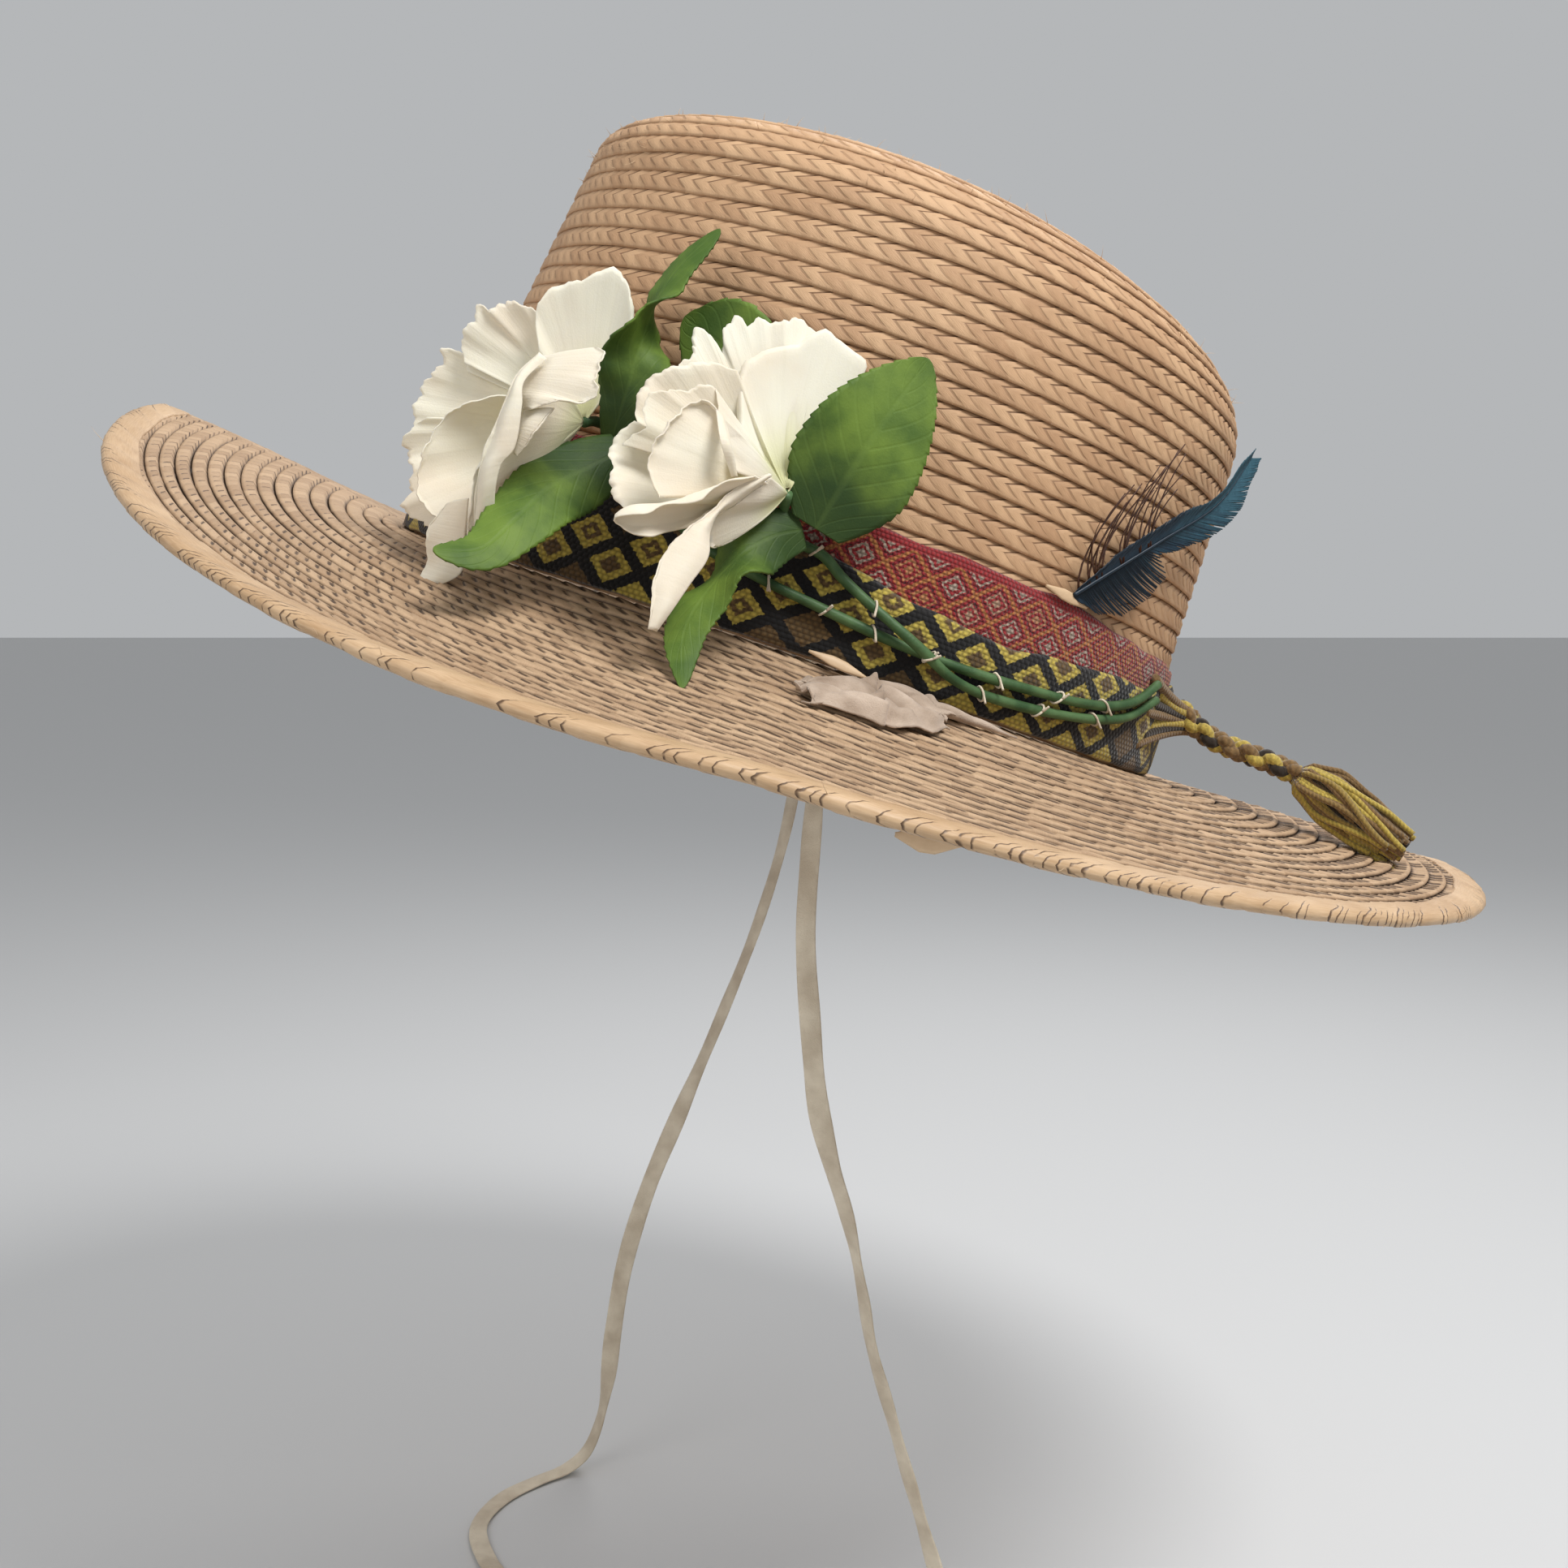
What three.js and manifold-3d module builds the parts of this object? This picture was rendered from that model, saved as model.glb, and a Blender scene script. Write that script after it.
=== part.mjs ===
// A straw hat in the form it has when worn: an oval crown and a wide brim of sewn straw plait,
// a wrapped edge, two woven bands, two cloth flowers with leaves and stems, a feather,
// a plaited tail with a tassel, and two cloth chin ties.
// Millimetres. The front of the hat is -Y, the wearer's left is +X and up is +Z.
// The origin is the centre of the head opening, where the hat sits.
import * as THREE from 'three';
import { mergeVertices } from 'three/addons/utils/BufferGeometryUtils.js';
import loadManifold from 'manifold-3d';

const wasm = await loadManifold();
wasm.setup();

// Driving sizes
const RAD = Math.PI / 180;
const AROUND = 56;
const GAP = 0.35;
const WORN_TILT = 18.5;

const CROWN = {
  baseHalfLength: 103,
  baseHalfWidth: 84.5,
  topHalfLength: 92,
  topHalfWidth: 75.4,
  topShift: 6.9,
  meanTopShift: 5.8,
  height: 116.5,
  backFall: 7.3,
  topSlope: 0.024,
  baseArch: 3.8,
  topArch: 7,
  dome: 10.3,
  shoulderFront: 12,
  shoulderBack: 24,
  wall: 2.2,
};

const BRIM = {
  front: 77.5,
  back: 93.7,
  side: 91.8,
  sideDrop: 15,
  frontLift: 10.6,
  backLift: 3.2,
  frontBend: 1.4,
  backBend: 1.6,
  twist: 7.7,
  fallOff: 1.6,
  wall: 2.2,
  innerReach: -0.026,
};

const BINDING = { centre: 2.6, halfWidth: 2.3, halfHeight: 2.2, sides: 8 };
const RED_BAND = { foot: 12, inner: 0.5, outer: 1.7 };
const SASH = { foot: 1.7, inner: 2.05, outer: 3.5 };
const STEM = { radius: 1.4, sides: 6, steps: 26 };
const TIE = {
  radius: 2.4,
  sides: 8,
  steps: 40,
  slitAt: 5,
  slitReach: 0.16,
  slit: 6.6,
  slitDepth: 24,
  sunk: 0.9,
};
const BRAID = { radius: 3.6, sides: 8, steps: 12 };
const ROUGHNESS = { straw: 0.85, petal: 0.8, leaf: 0.7, stem: 0.6, feather: 0.5 };
const PETAL_WALL = 1;
const LEAF_WALL = 1;

// Height of each band's upper edge above the foot of the crown, by direction round the hat
const RED_BAND_TOP = [
  { at: -180, top: 31 },
  { at: -90, top: 33 },
  { at: 38, top: 33 },
  { at: 52, top: 30.5 },
  { at: 95, top: 28.5 },
  { at: 180, top: 31 },
];
const SASH_TOP = [
  { at: -180, top: 24 },
  { at: -10, top: 24.5 },
  { at: 27, top: 18 },
  { at: 48, top: 21 },
  { at: 95, top: 26.5 },
  { at: 180, top: 24 },
];

const COLOUR = {
  straw: 0xc9a078,
  binding: 0xd8b184,
  red: 0x8c2f2a,
  sash: 0x6b5424,
  yarn: 0x7a6430,
  petal: 0xf2eedd,
  leaf: 0x5d8a34,
  stem: 0x4b6f3c,
  feather: 0x2b4754,
  cotton: 0xc2ab8c,
};

// Small helpers
const SLOPE_STEP = 0.002;
const MERGE_DISTANCE = 1e-4;
const lerp = THREE.MathUtils.lerp;
const clamp = THREE.MathUtils.clamp;
const vec = (x, y, z) => new THREE.Vector3(x, y, z);

// Value of a table column at a direction, eased between the two rows around it
function eased(table, column, degrees) {
  const next = Math.max(1, table.findIndex((row) => row.at >= degrees));
  const a = table[next - 1];
  const b = table[next];
  const share = clamp((degrees - a.at) / (b.at - a.at), 0, 1);
  return lerp(a[column], b[column], 0.5 - 0.5 * Math.cos(Math.PI * share));
}

// Directions round the hat in degrees: 0 is the wearer's left, 90 the back, -90 the front
function directions() {
  return Array.from({ length: AROUND }, (_, i) => -180 + (360 * i) / AROUND);
}

function solid(positions, index) {
  const geometry = new THREE.BufferGeometry();
  geometry.setAttribute('position', new THREE.Float32BufferAttribute(positions, 3));
  geometry.setIndex(index);
  geometry.computeVertexNormals();
  return geometry;
}

// Closed skin over rings of equal length, joined in order. It starts and ends on a pole,
// or, with no poles, joins its last ring to its first.
function skin(rings, startPole, endPole) {
  const count = rings[0].length;
  const positions = rings.flat().flatMap((p) => [p.x, p.y, p.z]);
  const index = [];
  const strips = startPole ? rings.length - 1 : rings.length;
  for (let a = 0; a < strips; a++) {
    const b = (a + 1) % rings.length;
    for (let i = 0; i < count; i++) {
      const n = (i + 1) % count;
      index.push(a * count + i, b * count + i, b * count + n);
      index.push(a * count + i, b * count + n, a * count + n);
    }
  }
  if (startPole) {
    const first = positions.length / 3;
    const last = first + 1;
    const tail = (rings.length - 1) * count;
    positions.push(startPole.x, startPole.y, startPole.z, endPole.x, endPole.y, endPole.z);
    for (let i = 0; i < count; i++) {
      const n = (i + 1) % count;
      index.push(first, i, n);
      index.push(tail + i, last, tail + n);
    }
  }
  return solid(positions, index);
}

// Sheet of even thickness under a surface of two parameters, each running from 0 to 1
function slab(surface, stepsU, stepsV, thickness) {
  const step = SLOPE_STEP;
  const positions = [];
  const index = [];
  const cols = stepsV + 1;
  const sheet = (stepsU + 1) * cols;
  for (const depth of [0, thickness]) {
    for (let i = 0; i <= stepsU; i++) {
      for (let j = 0; j <= stepsV; j++) {
        const u = clamp(i / stepsU, step, 1 - step);
        const v = clamp(j / stepsV, step, 1 - step);
        const alongU = surface(u + step, v).sub(surface(u - step, v));
        const alongV = surface(u, v + step).sub(surface(u, v - step));
        const normal = alongU.cross(alongV).normalize();
        const p = surface(i / stepsU, j / stepsV).addScaledVector(normal, -depth);
        positions.push(p.x, p.y, p.z);
      }
    }
  }
  const at = (side, i, j) => side * sheet + i * cols + j;
  const quad = (a, b, c, d) => index.push(a, b, c, a, c, d);
  for (let i = 0; i < stepsU; i++) {
    for (let j = 0; j < stepsV; j++) {
      quad(at(0, i, j), at(0, i + 1, j), at(0, i + 1, j + 1), at(0, i, j + 1));
      quad(at(1, i, j), at(1, i, j + 1), at(1, i + 1, j + 1), at(1, i + 1, j));
    }
    quad(at(0, i, 0), at(1, i, 0), at(1, i + 1, 0), at(0, i + 1, 0));
    quad(at(0, i + 1, stepsV), at(1, i + 1, stepsV), at(1, i, stepsV), at(0, i, stepsV));
  }
  for (let j = 0; j < stepsV; j++) {
    quad(at(0, 0, j + 1), at(1, 0, j + 1), at(1, 0, j), at(0, 0, j));
    quad(at(0, stepsU, j), at(1, stepsU, j), at(1, stepsU, j + 1), at(0, stepsU, j + 1));
  }
  return solid(positions, index);
}

// Round tube of even thickness through a list of points
function tube(points, radius, sides, steps) {
  const section = new THREE.Shape();
  for (let i = 0; i < sides; i++) {
    const angle = (2 * Math.PI * i) / sides;
    const corner = [radius * Math.cos(angle), radius * Math.sin(angle)];
    if (i === 0) section.moveTo(...corner);
    else section.lineTo(...corner);
  }
  section.closePath();
  const path = new THREE.CatmullRomCurve3(points, false, 'centripetal');
  return new THREE.ExtrudeGeometry(section, { extrudePath: path, steps, bevelEnabled: false });
}

function piece(parent, name, geometry, colour, roughness = ROUGHNESS.straw) {
  const material = new THREE.MeshStandardMaterial({ color: colour, roughness, metalness: 0 });
  const mesh = new THREE.Mesh(geometry, material);
  mesh.name = name;
  parent.add(mesh);
  return mesh;
}

// Point on the crown's outer wall, at a height up the wall and a distance out from it
function crownWall(degrees, height, out = 0) {
  const phi = degrees * RAD;
  const k = height / CROWN.height;
  const halfLength = lerp(CROWN.baseHalfLength, CROWN.topHalfLength, k) + out;
  const halfWidth = lerp(CROWN.baseHalfWidth, CROWN.topHalfWidth, k) + out;
  const y = halfLength * Math.sin(phi) + CROWN.topShift * k;
  const arch = lerp(CROWN.baseArch, CROWN.topArch, k) * Math.cos(phi) ** 2;
  return vec(halfWidth * Math.cos(phi), y, height - CROWN.topSlope * k * y + arch);
}

function outward(degrees) {
  const phi = degrees * RAD;
  return vec(Math.cos(phi) / CROWN.baseHalfWidth, Math.sin(phi) / CROWN.baseHalfLength, 0).normalize();
}

// Point on the crown: stage 0 to 1 climbs the wall, 1 to 2 rounds the shoulder,
// 2 to 3 crosses the domed top to its centre. Inset moves it in for the inner face.
function crownSurface(degrees, stage, inset) {
  const phi = degrees * RAD;
  const back = 0.5 + 0.5 * Math.sin(phi);
  const fall = CROWN.backFall * back ** 2;
  const shoulder = lerp(CROWN.shoulderFront, CROWN.shoulderBack, back);
  const climb = Math.min(stage, 1) * (CROWN.height - fall - shoulder);
  const turn = clamp(stage - 1, 0, 1) * 0.5 * Math.PI;
  const rho = 1 - clamp(stage - 2, 0, 1);
  const k = climb / CROWN.height;
  const pull = inset + (shoulder - inset) * (1 - Math.cos(turn));
  const halfLength = (lerp(CROWN.baseHalfLength, CROWN.topHalfLength, k) - pull) * rho;
  const halfWidth = (lerp(CROWN.baseHalfWidth, CROWN.topHalfWidth, k) - pull) * rho;
  const shift = lerp(CROWN.meanTopShift, CROWN.topShift * k, rho);
  const y = halfLength * Math.sin(phi) + shift;
  const arch = lerp(CROWN.baseArch, CROWN.topArch, k) * (rho * Math.cos(phi)) ** 2;
  const rise = (shoulder - inset) * Math.sin(turn) + (CROWN.dome + fall) * (1 - rho ** 2);
  return vec(halfWidth * Math.cos(phi), y, climb + rise - CROWN.topSlope * k * y * rho + arch);
}

// Point on the brim's upper face; reach is 0 at the crown and 1 at the brim's outer edge
function brimSurface(degrees, reach, depth = 0) {
  const phi = degrees * RAD;
  const s = Math.sin(phi);
  const c = Math.cos(phi);
  const width = s < 0 ? BRIM.front : BRIM.back;
  const lift = s < 0 ? BRIM.frontLift : BRIM.backLift;
  const side = Math.abs(c) ** (s < 0 ? BRIM.frontBend : BRIM.backBend);
  const spread = Math.max(reach, 0);
  const fall = 1 - (1 - spread) ** BRIM.fallOff;
  const twist = BRIM.twist * Math.max(0, -Math.sin(2 * phi));
  const bend = (lift * (1 - side) - BRIM.sideDrop * side - twist) * fall;
  const x = (CROWN.baseHalfWidth + BRIM.side * reach) * c;
  const y = (CROWN.baseHalfLength + width * reach) * s;
  return vec(x, y, CROWN.baseArch * c * c * (1 - spread) + bend - GAP - depth);
}

// Reach that lies a distance inside the brim's outer edge
function reachFromEdge(degrees, distance) {
  const phi = degrees * RAD;
  const width = Math.sin(phi) < 0 ? BRIM.front : BRIM.back;
  return 1 - distance / Math.hypot(BRIM.side * Math.cos(phi), width * Math.sin(phi));
}

// Crown: outer rings from the top down, then inner rings back up
const CROWN_OUTER_STAGES = [2.65, 2.3, 2, 1.66, 1.33, 1, 0.75, 0.5, 0.25, 0];
const CROWN_INNER_STAGES = [0, 0.5, 1, 1.5, 2, 2.5];

function crownGeometry() {
  const ring = (stage, inset) => directions().map((d) => crownSurface(d, stage, inset));
  const outer = CROWN_OUTER_STAGES.map((stage) => ring(stage, 0));
  const inner = CROWN_INNER_STAGES.map((stage) => ring(stage, CROWN.wall));
  return skin([...outer, ...inner], crownSurface(0, 3, 0), crownSurface(0, 3, CROWN.wall));
}

function toManifold(geometry) {
  const bare = geometry.clone();
  bare.deleteAttribute('normal');
  bare.deleteAttribute('uv');
  const merged = mergeVertices(bare, MERGE_DISTANCE);
  const vertProperties = new Float32Array(merged.attributes.position.array);
  const triVerts = new Uint32Array(merged.index.array);
  return new wasm.Manifold(new wasm.Mesh({ numProp: 3, vertProperties, triVerts }));
}

function fromManifold(manifold) {
  const mesh = manifold.getMesh();
  return solid(Array.from(mesh.vertProperties), Array.from(mesh.triVerts));
}

// Place on the hat where a chin tie goes through the brim
function slitPlace(degrees) {
  return brimSurface(degrees, TIE.slitReach);
}

// Brim: lower face from the edge inwards, then upper face outwards, with a slit for each tie
const BRIM_REACHES = [0.86, 0.7, 0.5, 0.3, 0.14, 0];

function brimGeometry() {
  const edge = BINDING.centre + BINDING.halfWidth + GAP;
  const ring = (reach, depth) => directions().map((d) => brimSurface(d, reach, depth));
  const rim = (depth) => directions().map((d) => brimSurface(d, reachFromEdge(d, edge), depth));
  const lowerRings = BRIM_REACHES.map((reach) => ring(reach, BRIM.wall));
  const upperRings = BRIM_REACHES.toReversed().map((reach) => ring(reach, 0));
  const lower = [rim(BRIM.wall), ...lowerRings, ring(BRIM.innerReach, BRIM.wall)];
  const upper = [ring(BRIM.innerReach, 0), ...upperRings, rim(0)];
  let brim = toManifold(skin([...lower, ...upper]));
  for (const degrees of [TIE.slitAt, 180 - TIE.slitAt]) {
    const cutter = new THREE.BoxGeometry(TIE.slit, TIE.slit, TIE.slitDepth);
    cutter.rotateX(WORN_TILT * RAD);
    cutter.translate(...slitPlace(degrees).toArray());
    brim = brim.subtract(toManifold(cutter));
  }
  return fromManifold(brim);
}

// Wrapped edge: an oval section carried round the brim's rim
function bindingGeometry() {
  const rings = [];
  for (let i = 0; i < BINDING.sides; i++) {
    const angle = (-2 * Math.PI * i) / BINDING.sides;
    rings.push(directions().map((d) => {
      const distance = BINDING.centre - BINDING.halfWidth * Math.cos(angle);
      const rise = BINDING.halfHeight * Math.sin(angle) - 0.5 * BRIM.wall;
      return brimSurface(d, reachFromEdge(d, distance), -rise);
    }));
  }
  return skin(rings);
}

// Band: a thin ring on the crown's wall between its foot and its upper edge
function bandGeometry(band, topTable) {
  const corner = (share, out) => directions().map((d) => {
    const top = eased(topTable, 'top', d);
    return crownWall(d, lerp(band.foot, top, share), out);
  });
  const outer = [1, 0.5, 0].map((share) => corner(share, band.outer));
  const inner = [0, 1].map((share) => corner(share, band.inner));
  return skin([...outer, ...inner]);
}

// Flowers: each is a stack of cloth petal layers, cups with lobed and ruffled rims
const PETAL_AROUND = 20;
const PETAL_BEND = 1.7;
const FLOWERS = [
  {
    side: 'left',
    at: -33,
    height: 36,
    out: 10,
    axis: [0.4, -0.91, 0.1],
    lowPetal: { at: -38, height: 0, out: 27, width: 19, fullest: 0.6 },
    layers: [
      { layer: 'outer', radius: 31, depth: 21, base: 0, lobes: 5, ruffle: 1.6, phase: 0.4 },
      { layer: 'middle', radius: 24, depth: 23, base: 1.9, lobes: 5, ruffle: 1.4, phase: 1.3 },
      { layer: 'inner', radius: 14, depth: 23, base: 3.8, lobes: 3, ruffle: 1, phase: 0.2 },
    ],
  },
  {
    side: 'right',
    at: -5.5,
    height: 27,
    out: 10,
    axis: [0.74, -0.36, 0.57],
    lowPetal: { at: -12.6, height: 0, out: 33, width: 14, fullest: 0.55 },
    layers: [
      { layer: 'outer', radius: 28, depth: 25, base: 0, lobes: 5, ruffle: 1.5, phase: 0.9 },
      { layer: 'middle', radius: 21, depth: 27, base: 1.9, lobes: 5, ruffle: 1.2, phase: 0.1 },
      { layer: 'inner', radius: 12, depth: 26, base: 3.8, lobes: 3, ruffle: 1, phase: 0.7 },
    ],
  },
];
const LOBE_DEPTH = 0.07;
const EXTRA_RUFFLES = 4;
const PETAL_RINGS = [0.3, 0.6, 0.82, 1];

function petalCup(layer) {
  const cup = (theta, share, lift) => {
    const lobe = 1 + LOBE_DEPTH * Math.cos(layer.lobes * theta + layer.phase);
    const r = layer.radius * lobe * share;
    const ruffle = layer.ruffle * share ** 3 * Math.sin((layer.lobes + EXTRA_RUFFLES) * theta);
    const slope = (layer.depth / layer.radius) * PETAL_BEND * share ** (PETAL_BEND - 1);
    const lean = lift / Math.hypot(1, slope);
    const z = layer.base + layer.depth * share ** PETAL_BEND + ruffle + lean;
    return vec((r - slope * lean) * Math.cos(theta), (r - slope * lean) * Math.sin(theta), z);
  };
  const angles = Array.from({ length: PETAL_AROUND }, (_, i) => (2 * Math.PI * i) / PETAL_AROUND);
  const ring = (share, lift) => angles.map((theta) => cup(theta, share, lift));
  const upper = PETAL_RINGS.map((share) => ring(share, PETAL_WALL));
  const lower = PETAL_RINGS.toReversed().map((share) => ring(share, 0));
  return skin([...upper, ...lower], vec(0, 0, layer.base + PETAL_WALL), vec(0, 0, layer.base));
}

function flowerBase(flower) {
  return crownWall(flower.at, flower.height, flower.out);
}

// Low petal: it leaves the flower's foot under the outer layer and hangs out to its tip
const LOW_PETAL = { start: 3.4, rise: 0.5, root: 0.2, tip: 0.3, along: 8, across: 4 };

function lowPetalGeometry(flower, toFlower) {
  const { at, height, out, width, fullest } = flower.lowPetal;
  const tip = toFlower(crownWall(at, height, out));
  const reach = Math.hypot(tip.x, tip.y);
  const along = vec(tip.x / reach, tip.y / reach, 0);
  const across = vec(-along.y, along.x, 0);
  const surface = (u, v) => {
    const rising = Math.sin((0.5 * Math.PI * u) / fullest);
    const falling = Math.cos((0.5 * Math.PI * (u - fullest)) / (1 - fullest));
    const share = u < fullest ? lerp(LOW_PETAL.root, 1, rising) : lerp(LOW_PETAL.tip, 1, falling);
    const half = 0.5 * width * share;
    const p = along.clone().multiplyScalar(lerp(LOW_PETAL.start, reach, u));
    p.addScaledVector(across, half * (2 * v - 1));
    p.z = lerp(LOW_PETAL.rise, tip.z, u * u);
    return p;
  };
  return slab(surface, LOW_PETAL.along, LOW_PETAL.across, PETAL_WALL);
}

function addFlower(hat, flower) {
  const group = new THREE.Group();
  group.position.copy(flowerBase(flower));
  group.quaternion.setFromUnitVectors(vec(0, 0, 1), vec(...flower.axis).normalize());
  const turnBack = group.quaternion.clone().invert();
  const toFlower = (p) => p.sub(group.position).applyQuaternion(turnBack);
  const name = `flower_${flower.side}`;
  const lowPetal = lowPetalGeometry(flower, toFlower);
  piece(group, `${name}_low_petal`, lowPetal, COLOUR.petal, ROUGHNESS.petal);
  for (const layer of flower.layers) {
    piece(group, `${name}_${layer.layer}_petals`, petalCup(layer), COLOUR.petal, ROUGHNESS.petal);
  }
  hat.add(group);
}

// Leaves: tapered sheets along a spine given as places on the crown, turned to face a direction.
// Width is the full width, fullest is where along the spine it comes, fold lifts the edges.
const LEAVES = [
  {
    name: 'leaf_upper', width: 14, fullest: 0.4, fold: 1.5, tip: 0.1, facing: [0.88, -0.47, 0],
    spine: [
      { at: -26.6, height: 29.6, out: 8.4 },
      { at: -29, height: 56, out: 9 },
      { at: -28.2, height: 84.5, out: 9 },
    ],
  },
  {
    name: 'leaf_lower', width: 18, fullest: 0.5, fold: -1.5, tip: 0.1, facing: [0.72, 0.2, -0.66],
    spine: [
      { at: -23.4, height: 26.2, out: 8.2 },
      { at: -27.4, height: 12, out: 33 },
      { at: -30.8, height: -3, out: 47 },
    ],
  },
  {
    name: 'leaf_right', width: 32, fullest: 0.5, fold: 0.5, tip: 0.1, facing: [1, 0, 0],
    spine: [
      { at: -0.5, height: 23.6, out: 8 },
      { at: 2.2, height: 46, out: 6.4 },
      { at: 3.2, height: 69, out: 9 },
    ],
  },
  {
    name: 'leaf_hanging', width: 15, fullest: 0.45, fold: -1, tip: 0.1, facing: [1, 0, 0.3],
    spine: [
      { at: -2.6, height: 22.6, out: 7.8 },
      { at: -5.6, height: 6, out: 17 },
      { at: -6.5, height: -10.5, out: 43 },
    ],
  },
  {
    name: 'leaf_back', width: 22, fullest: 0.5, fold: 0.4, tip: 0.15, facing: [0.95, -0.3, 0],
    spine: [
      { at: -14, height: 36, out: 2.2 },
      { at: -20, height: 53, out: 1.6 },
      { at: -25, height: 68, out: 1.6 },
    ],
  },
];
const LEAF_STEPS = { along: 8, across: 4 };
const LEAF_ROOT = 0.14;

function leafGeometry(leaf) {
  const places = leaf.spine.map((p) => crownWall(p.at, p.height, p.out));
  const spine = new THREE.QuadraticBezierCurve3(
    places[0],
    places[1].clone().multiplyScalar(2).addScaledVector(places[0], -0.5).addScaledVector(places[2], -0.5),
    places[2],
  );
  const facing = vec(...leaf.facing).normalize();
  const surface = (u, v) => {
    const share = u < leaf.fullest
      ? Math.sin((0.5 * Math.PI * u) / leaf.fullest)
      : Math.cos((0.5 * Math.PI * (u - leaf.fullest)) / (1 - leaf.fullest));
    const end = u < leaf.fullest ? LEAF_ROOT : leaf.tip;
    const half = 0.5 * leaf.width * lerp(end, 1, share);
    const across = facing.clone().cross(spine.getTangent(u)).normalize();
    const front = spine.getTangent(u).cross(across).normalize();
    const side = 2 * v - 1;
    return spine.getPoint(u).addScaledVector(across, half * side)
      .addScaledVector(front, leaf.fold * side * side * share);
  };
  return slab(surface, LEAF_STEPS.along, LEAF_STEPS.across, LEAF_WALL);
}

// Stems: places on the sash from the flower's foot to the stem's cut end
const STEM_OUT = SASH.outer + GAP + STEM.radius;
const STEMS = [
  {
    name: 'stem_left',
    flower: 0,
    route: [
      { at: -24, height: 26.5, out: 6 },
      { at: -15, height: 17.5, out: STEM_OUT },
      { at: -5.5, height: 13.6, out: STEM_OUT },
      { at: 1.2, height: 12, out: STEM_OUT },
      { at: 7, height: 10.8, out: STEM_OUT },
      { at: 13, height: 9.8, out: STEM_OUT },
      { at: 19, height: 9.4, out: STEM_OUT },
      { at: 26, height: 9.6, out: STEM_OUT },
      { at: 33, height: 10.4, out: STEM_OUT },
      { at: 41, height: 11.6, out: STEM_OUT },
      { at: 49, height: 14, out: STEM_OUT },
      { at: 55, height: 17.8, out: STEM_OUT },
      { at: 60, height: 23.6, out: STEM_OUT },
    ],
  },
  {
    name: 'stem_right',
    flower: 1,
    route: [
      { at: 0.4, height: 22.8, out: STEM_OUT },
      { at: 3.8, height: 19.4, out: STEM_OUT },
      { at: 7.5, height: 16.4, out: STEM_OUT + 1 },
      { at: 12, height: 13, out: STEM_OUT + 3 },
      { at: 16, height: 10, out: STEM_OUT + 3.6 },
      { at: 20, height: 7, out: STEM_OUT + 2.6 },
      { at: 25, height: 5.6, out: STEM_OUT + 0.5 },
      { at: 31, height: 5.9, out: STEM_OUT },
      { at: 39, height: 7.4, out: STEM_OUT },
      { at: 47, height: 9.8, out: STEM_OUT },
      { at: 54, height: 13.2, out: STEM_OUT },
      { at: 61, height: 19.6, out: STEM_OUT },
    ],
  },
];
const STEM_LEAD = 5;

function stemGeometry(stem) {
  const flower = FLOWERS[stem.flower];
  const axis = vec(...flower.axis).normalize();
  const foot = flowerBase(flower).addScaledVector(axis, -GAP);
  const lead = foot.clone().addScaledVector(axis, -STEM_LEAD);
  const route = stem.route.map((p) => crownWall(p.at, p.height, p.out));
  return tube([foot, lead, ...route], STEM.radius, STEM.sides, STEM.steps);
}

// Feather: a thin blade from its quill, tucked over the red band, to its tip clear of the crown
const FEATHER = {
  root: [68.6, 63.4, 35.2],
  middle: [57.5, 80.5, 58],
  tip: [38, 97.1, 85],
  width: 15,
  fullest: 0.45,
  end: 0.12,
  wall: 1,
  faces: 45,
  along: 10,
  across: 4,
};

function featherGeometry() {
  const places = [FEATHER.root, FEATHER.middle, FEATHER.tip].map((p) => vec(...p));
  const spine = new THREE.CatmullRomCurve3(places);
  const surface = (u, v) => {
    const far = clamp((u - FEATHER.fullest) / (1 - FEATHER.fullest), 0, 1);
    const near = clamp(u / FEATHER.fullest, 0, 1);
    const full = Math.min(Math.sin(0.5 * Math.PI * near), Math.cos(0.5 * Math.PI * far));
    const half = 0.5 * FEATHER.width * lerp(FEATHER.end, 1, full);
    const across = outward(FEATHER.faces).cross(spine.getTangent(u)).normalize();
    return spine.getPoint(u).addScaledVector(across, half * (2 * v - 1));
  };
  return slab(surface, FEATHER.along, FEATHER.across, FEATHER.wall);
}

// Tail: the sash's plaited end and its yarn tassel, whose tip rests on the brim
const TAIL_ROUTE = [
  [24.3, 104, 20.7], [25.4, 109.4, 17.6], [26.8, 114, 15.8], [28, 117.5, 15.1],
  [29.6, 121.2, 14.9], [31.2, 124.8, 14.8], [32.8, 128.8, 14.6], [34.4, 132.9, 14.2], [36, 137, 13.7],
];
const TASSEL = { length: 33, sides: 12, tip: [47.5, 163.5, 5.8] };
const TASSEL_PROFILE = [
  { radius: 0, along: 0 },
  { radius: 2.6, along: 0 },
  { radius: 4.65, along: 0.14 },
  { radius: 6.2, along: 0.42 },
  { radius: 5.7, along: 0.7 },
  { radius: 4.6, along: 1 },
  { radius: 0, along: 1 },
];

function tasselMesh(parent) {
  const points = TASSEL_PROFILE.map((row) => new THREE.Vector2(row.radius, row.along * TASSEL.length));
  const mesh = piece(parent, 'tail_tassel', new THREE.LatheGeometry(points, TASSEL.sides), COLOUR.yarn);
  const start = vec(...TAIL_ROUTE.at(-1));
  const aim = vec(...TASSEL.tip).sub(start).normalize();
  mesh.position.copy(start).addScaledVector(aim, 2 * GAP);
  mesh.quaternion.setFromUnitVectors(vec(0, 1, 0), aim);
}

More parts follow.
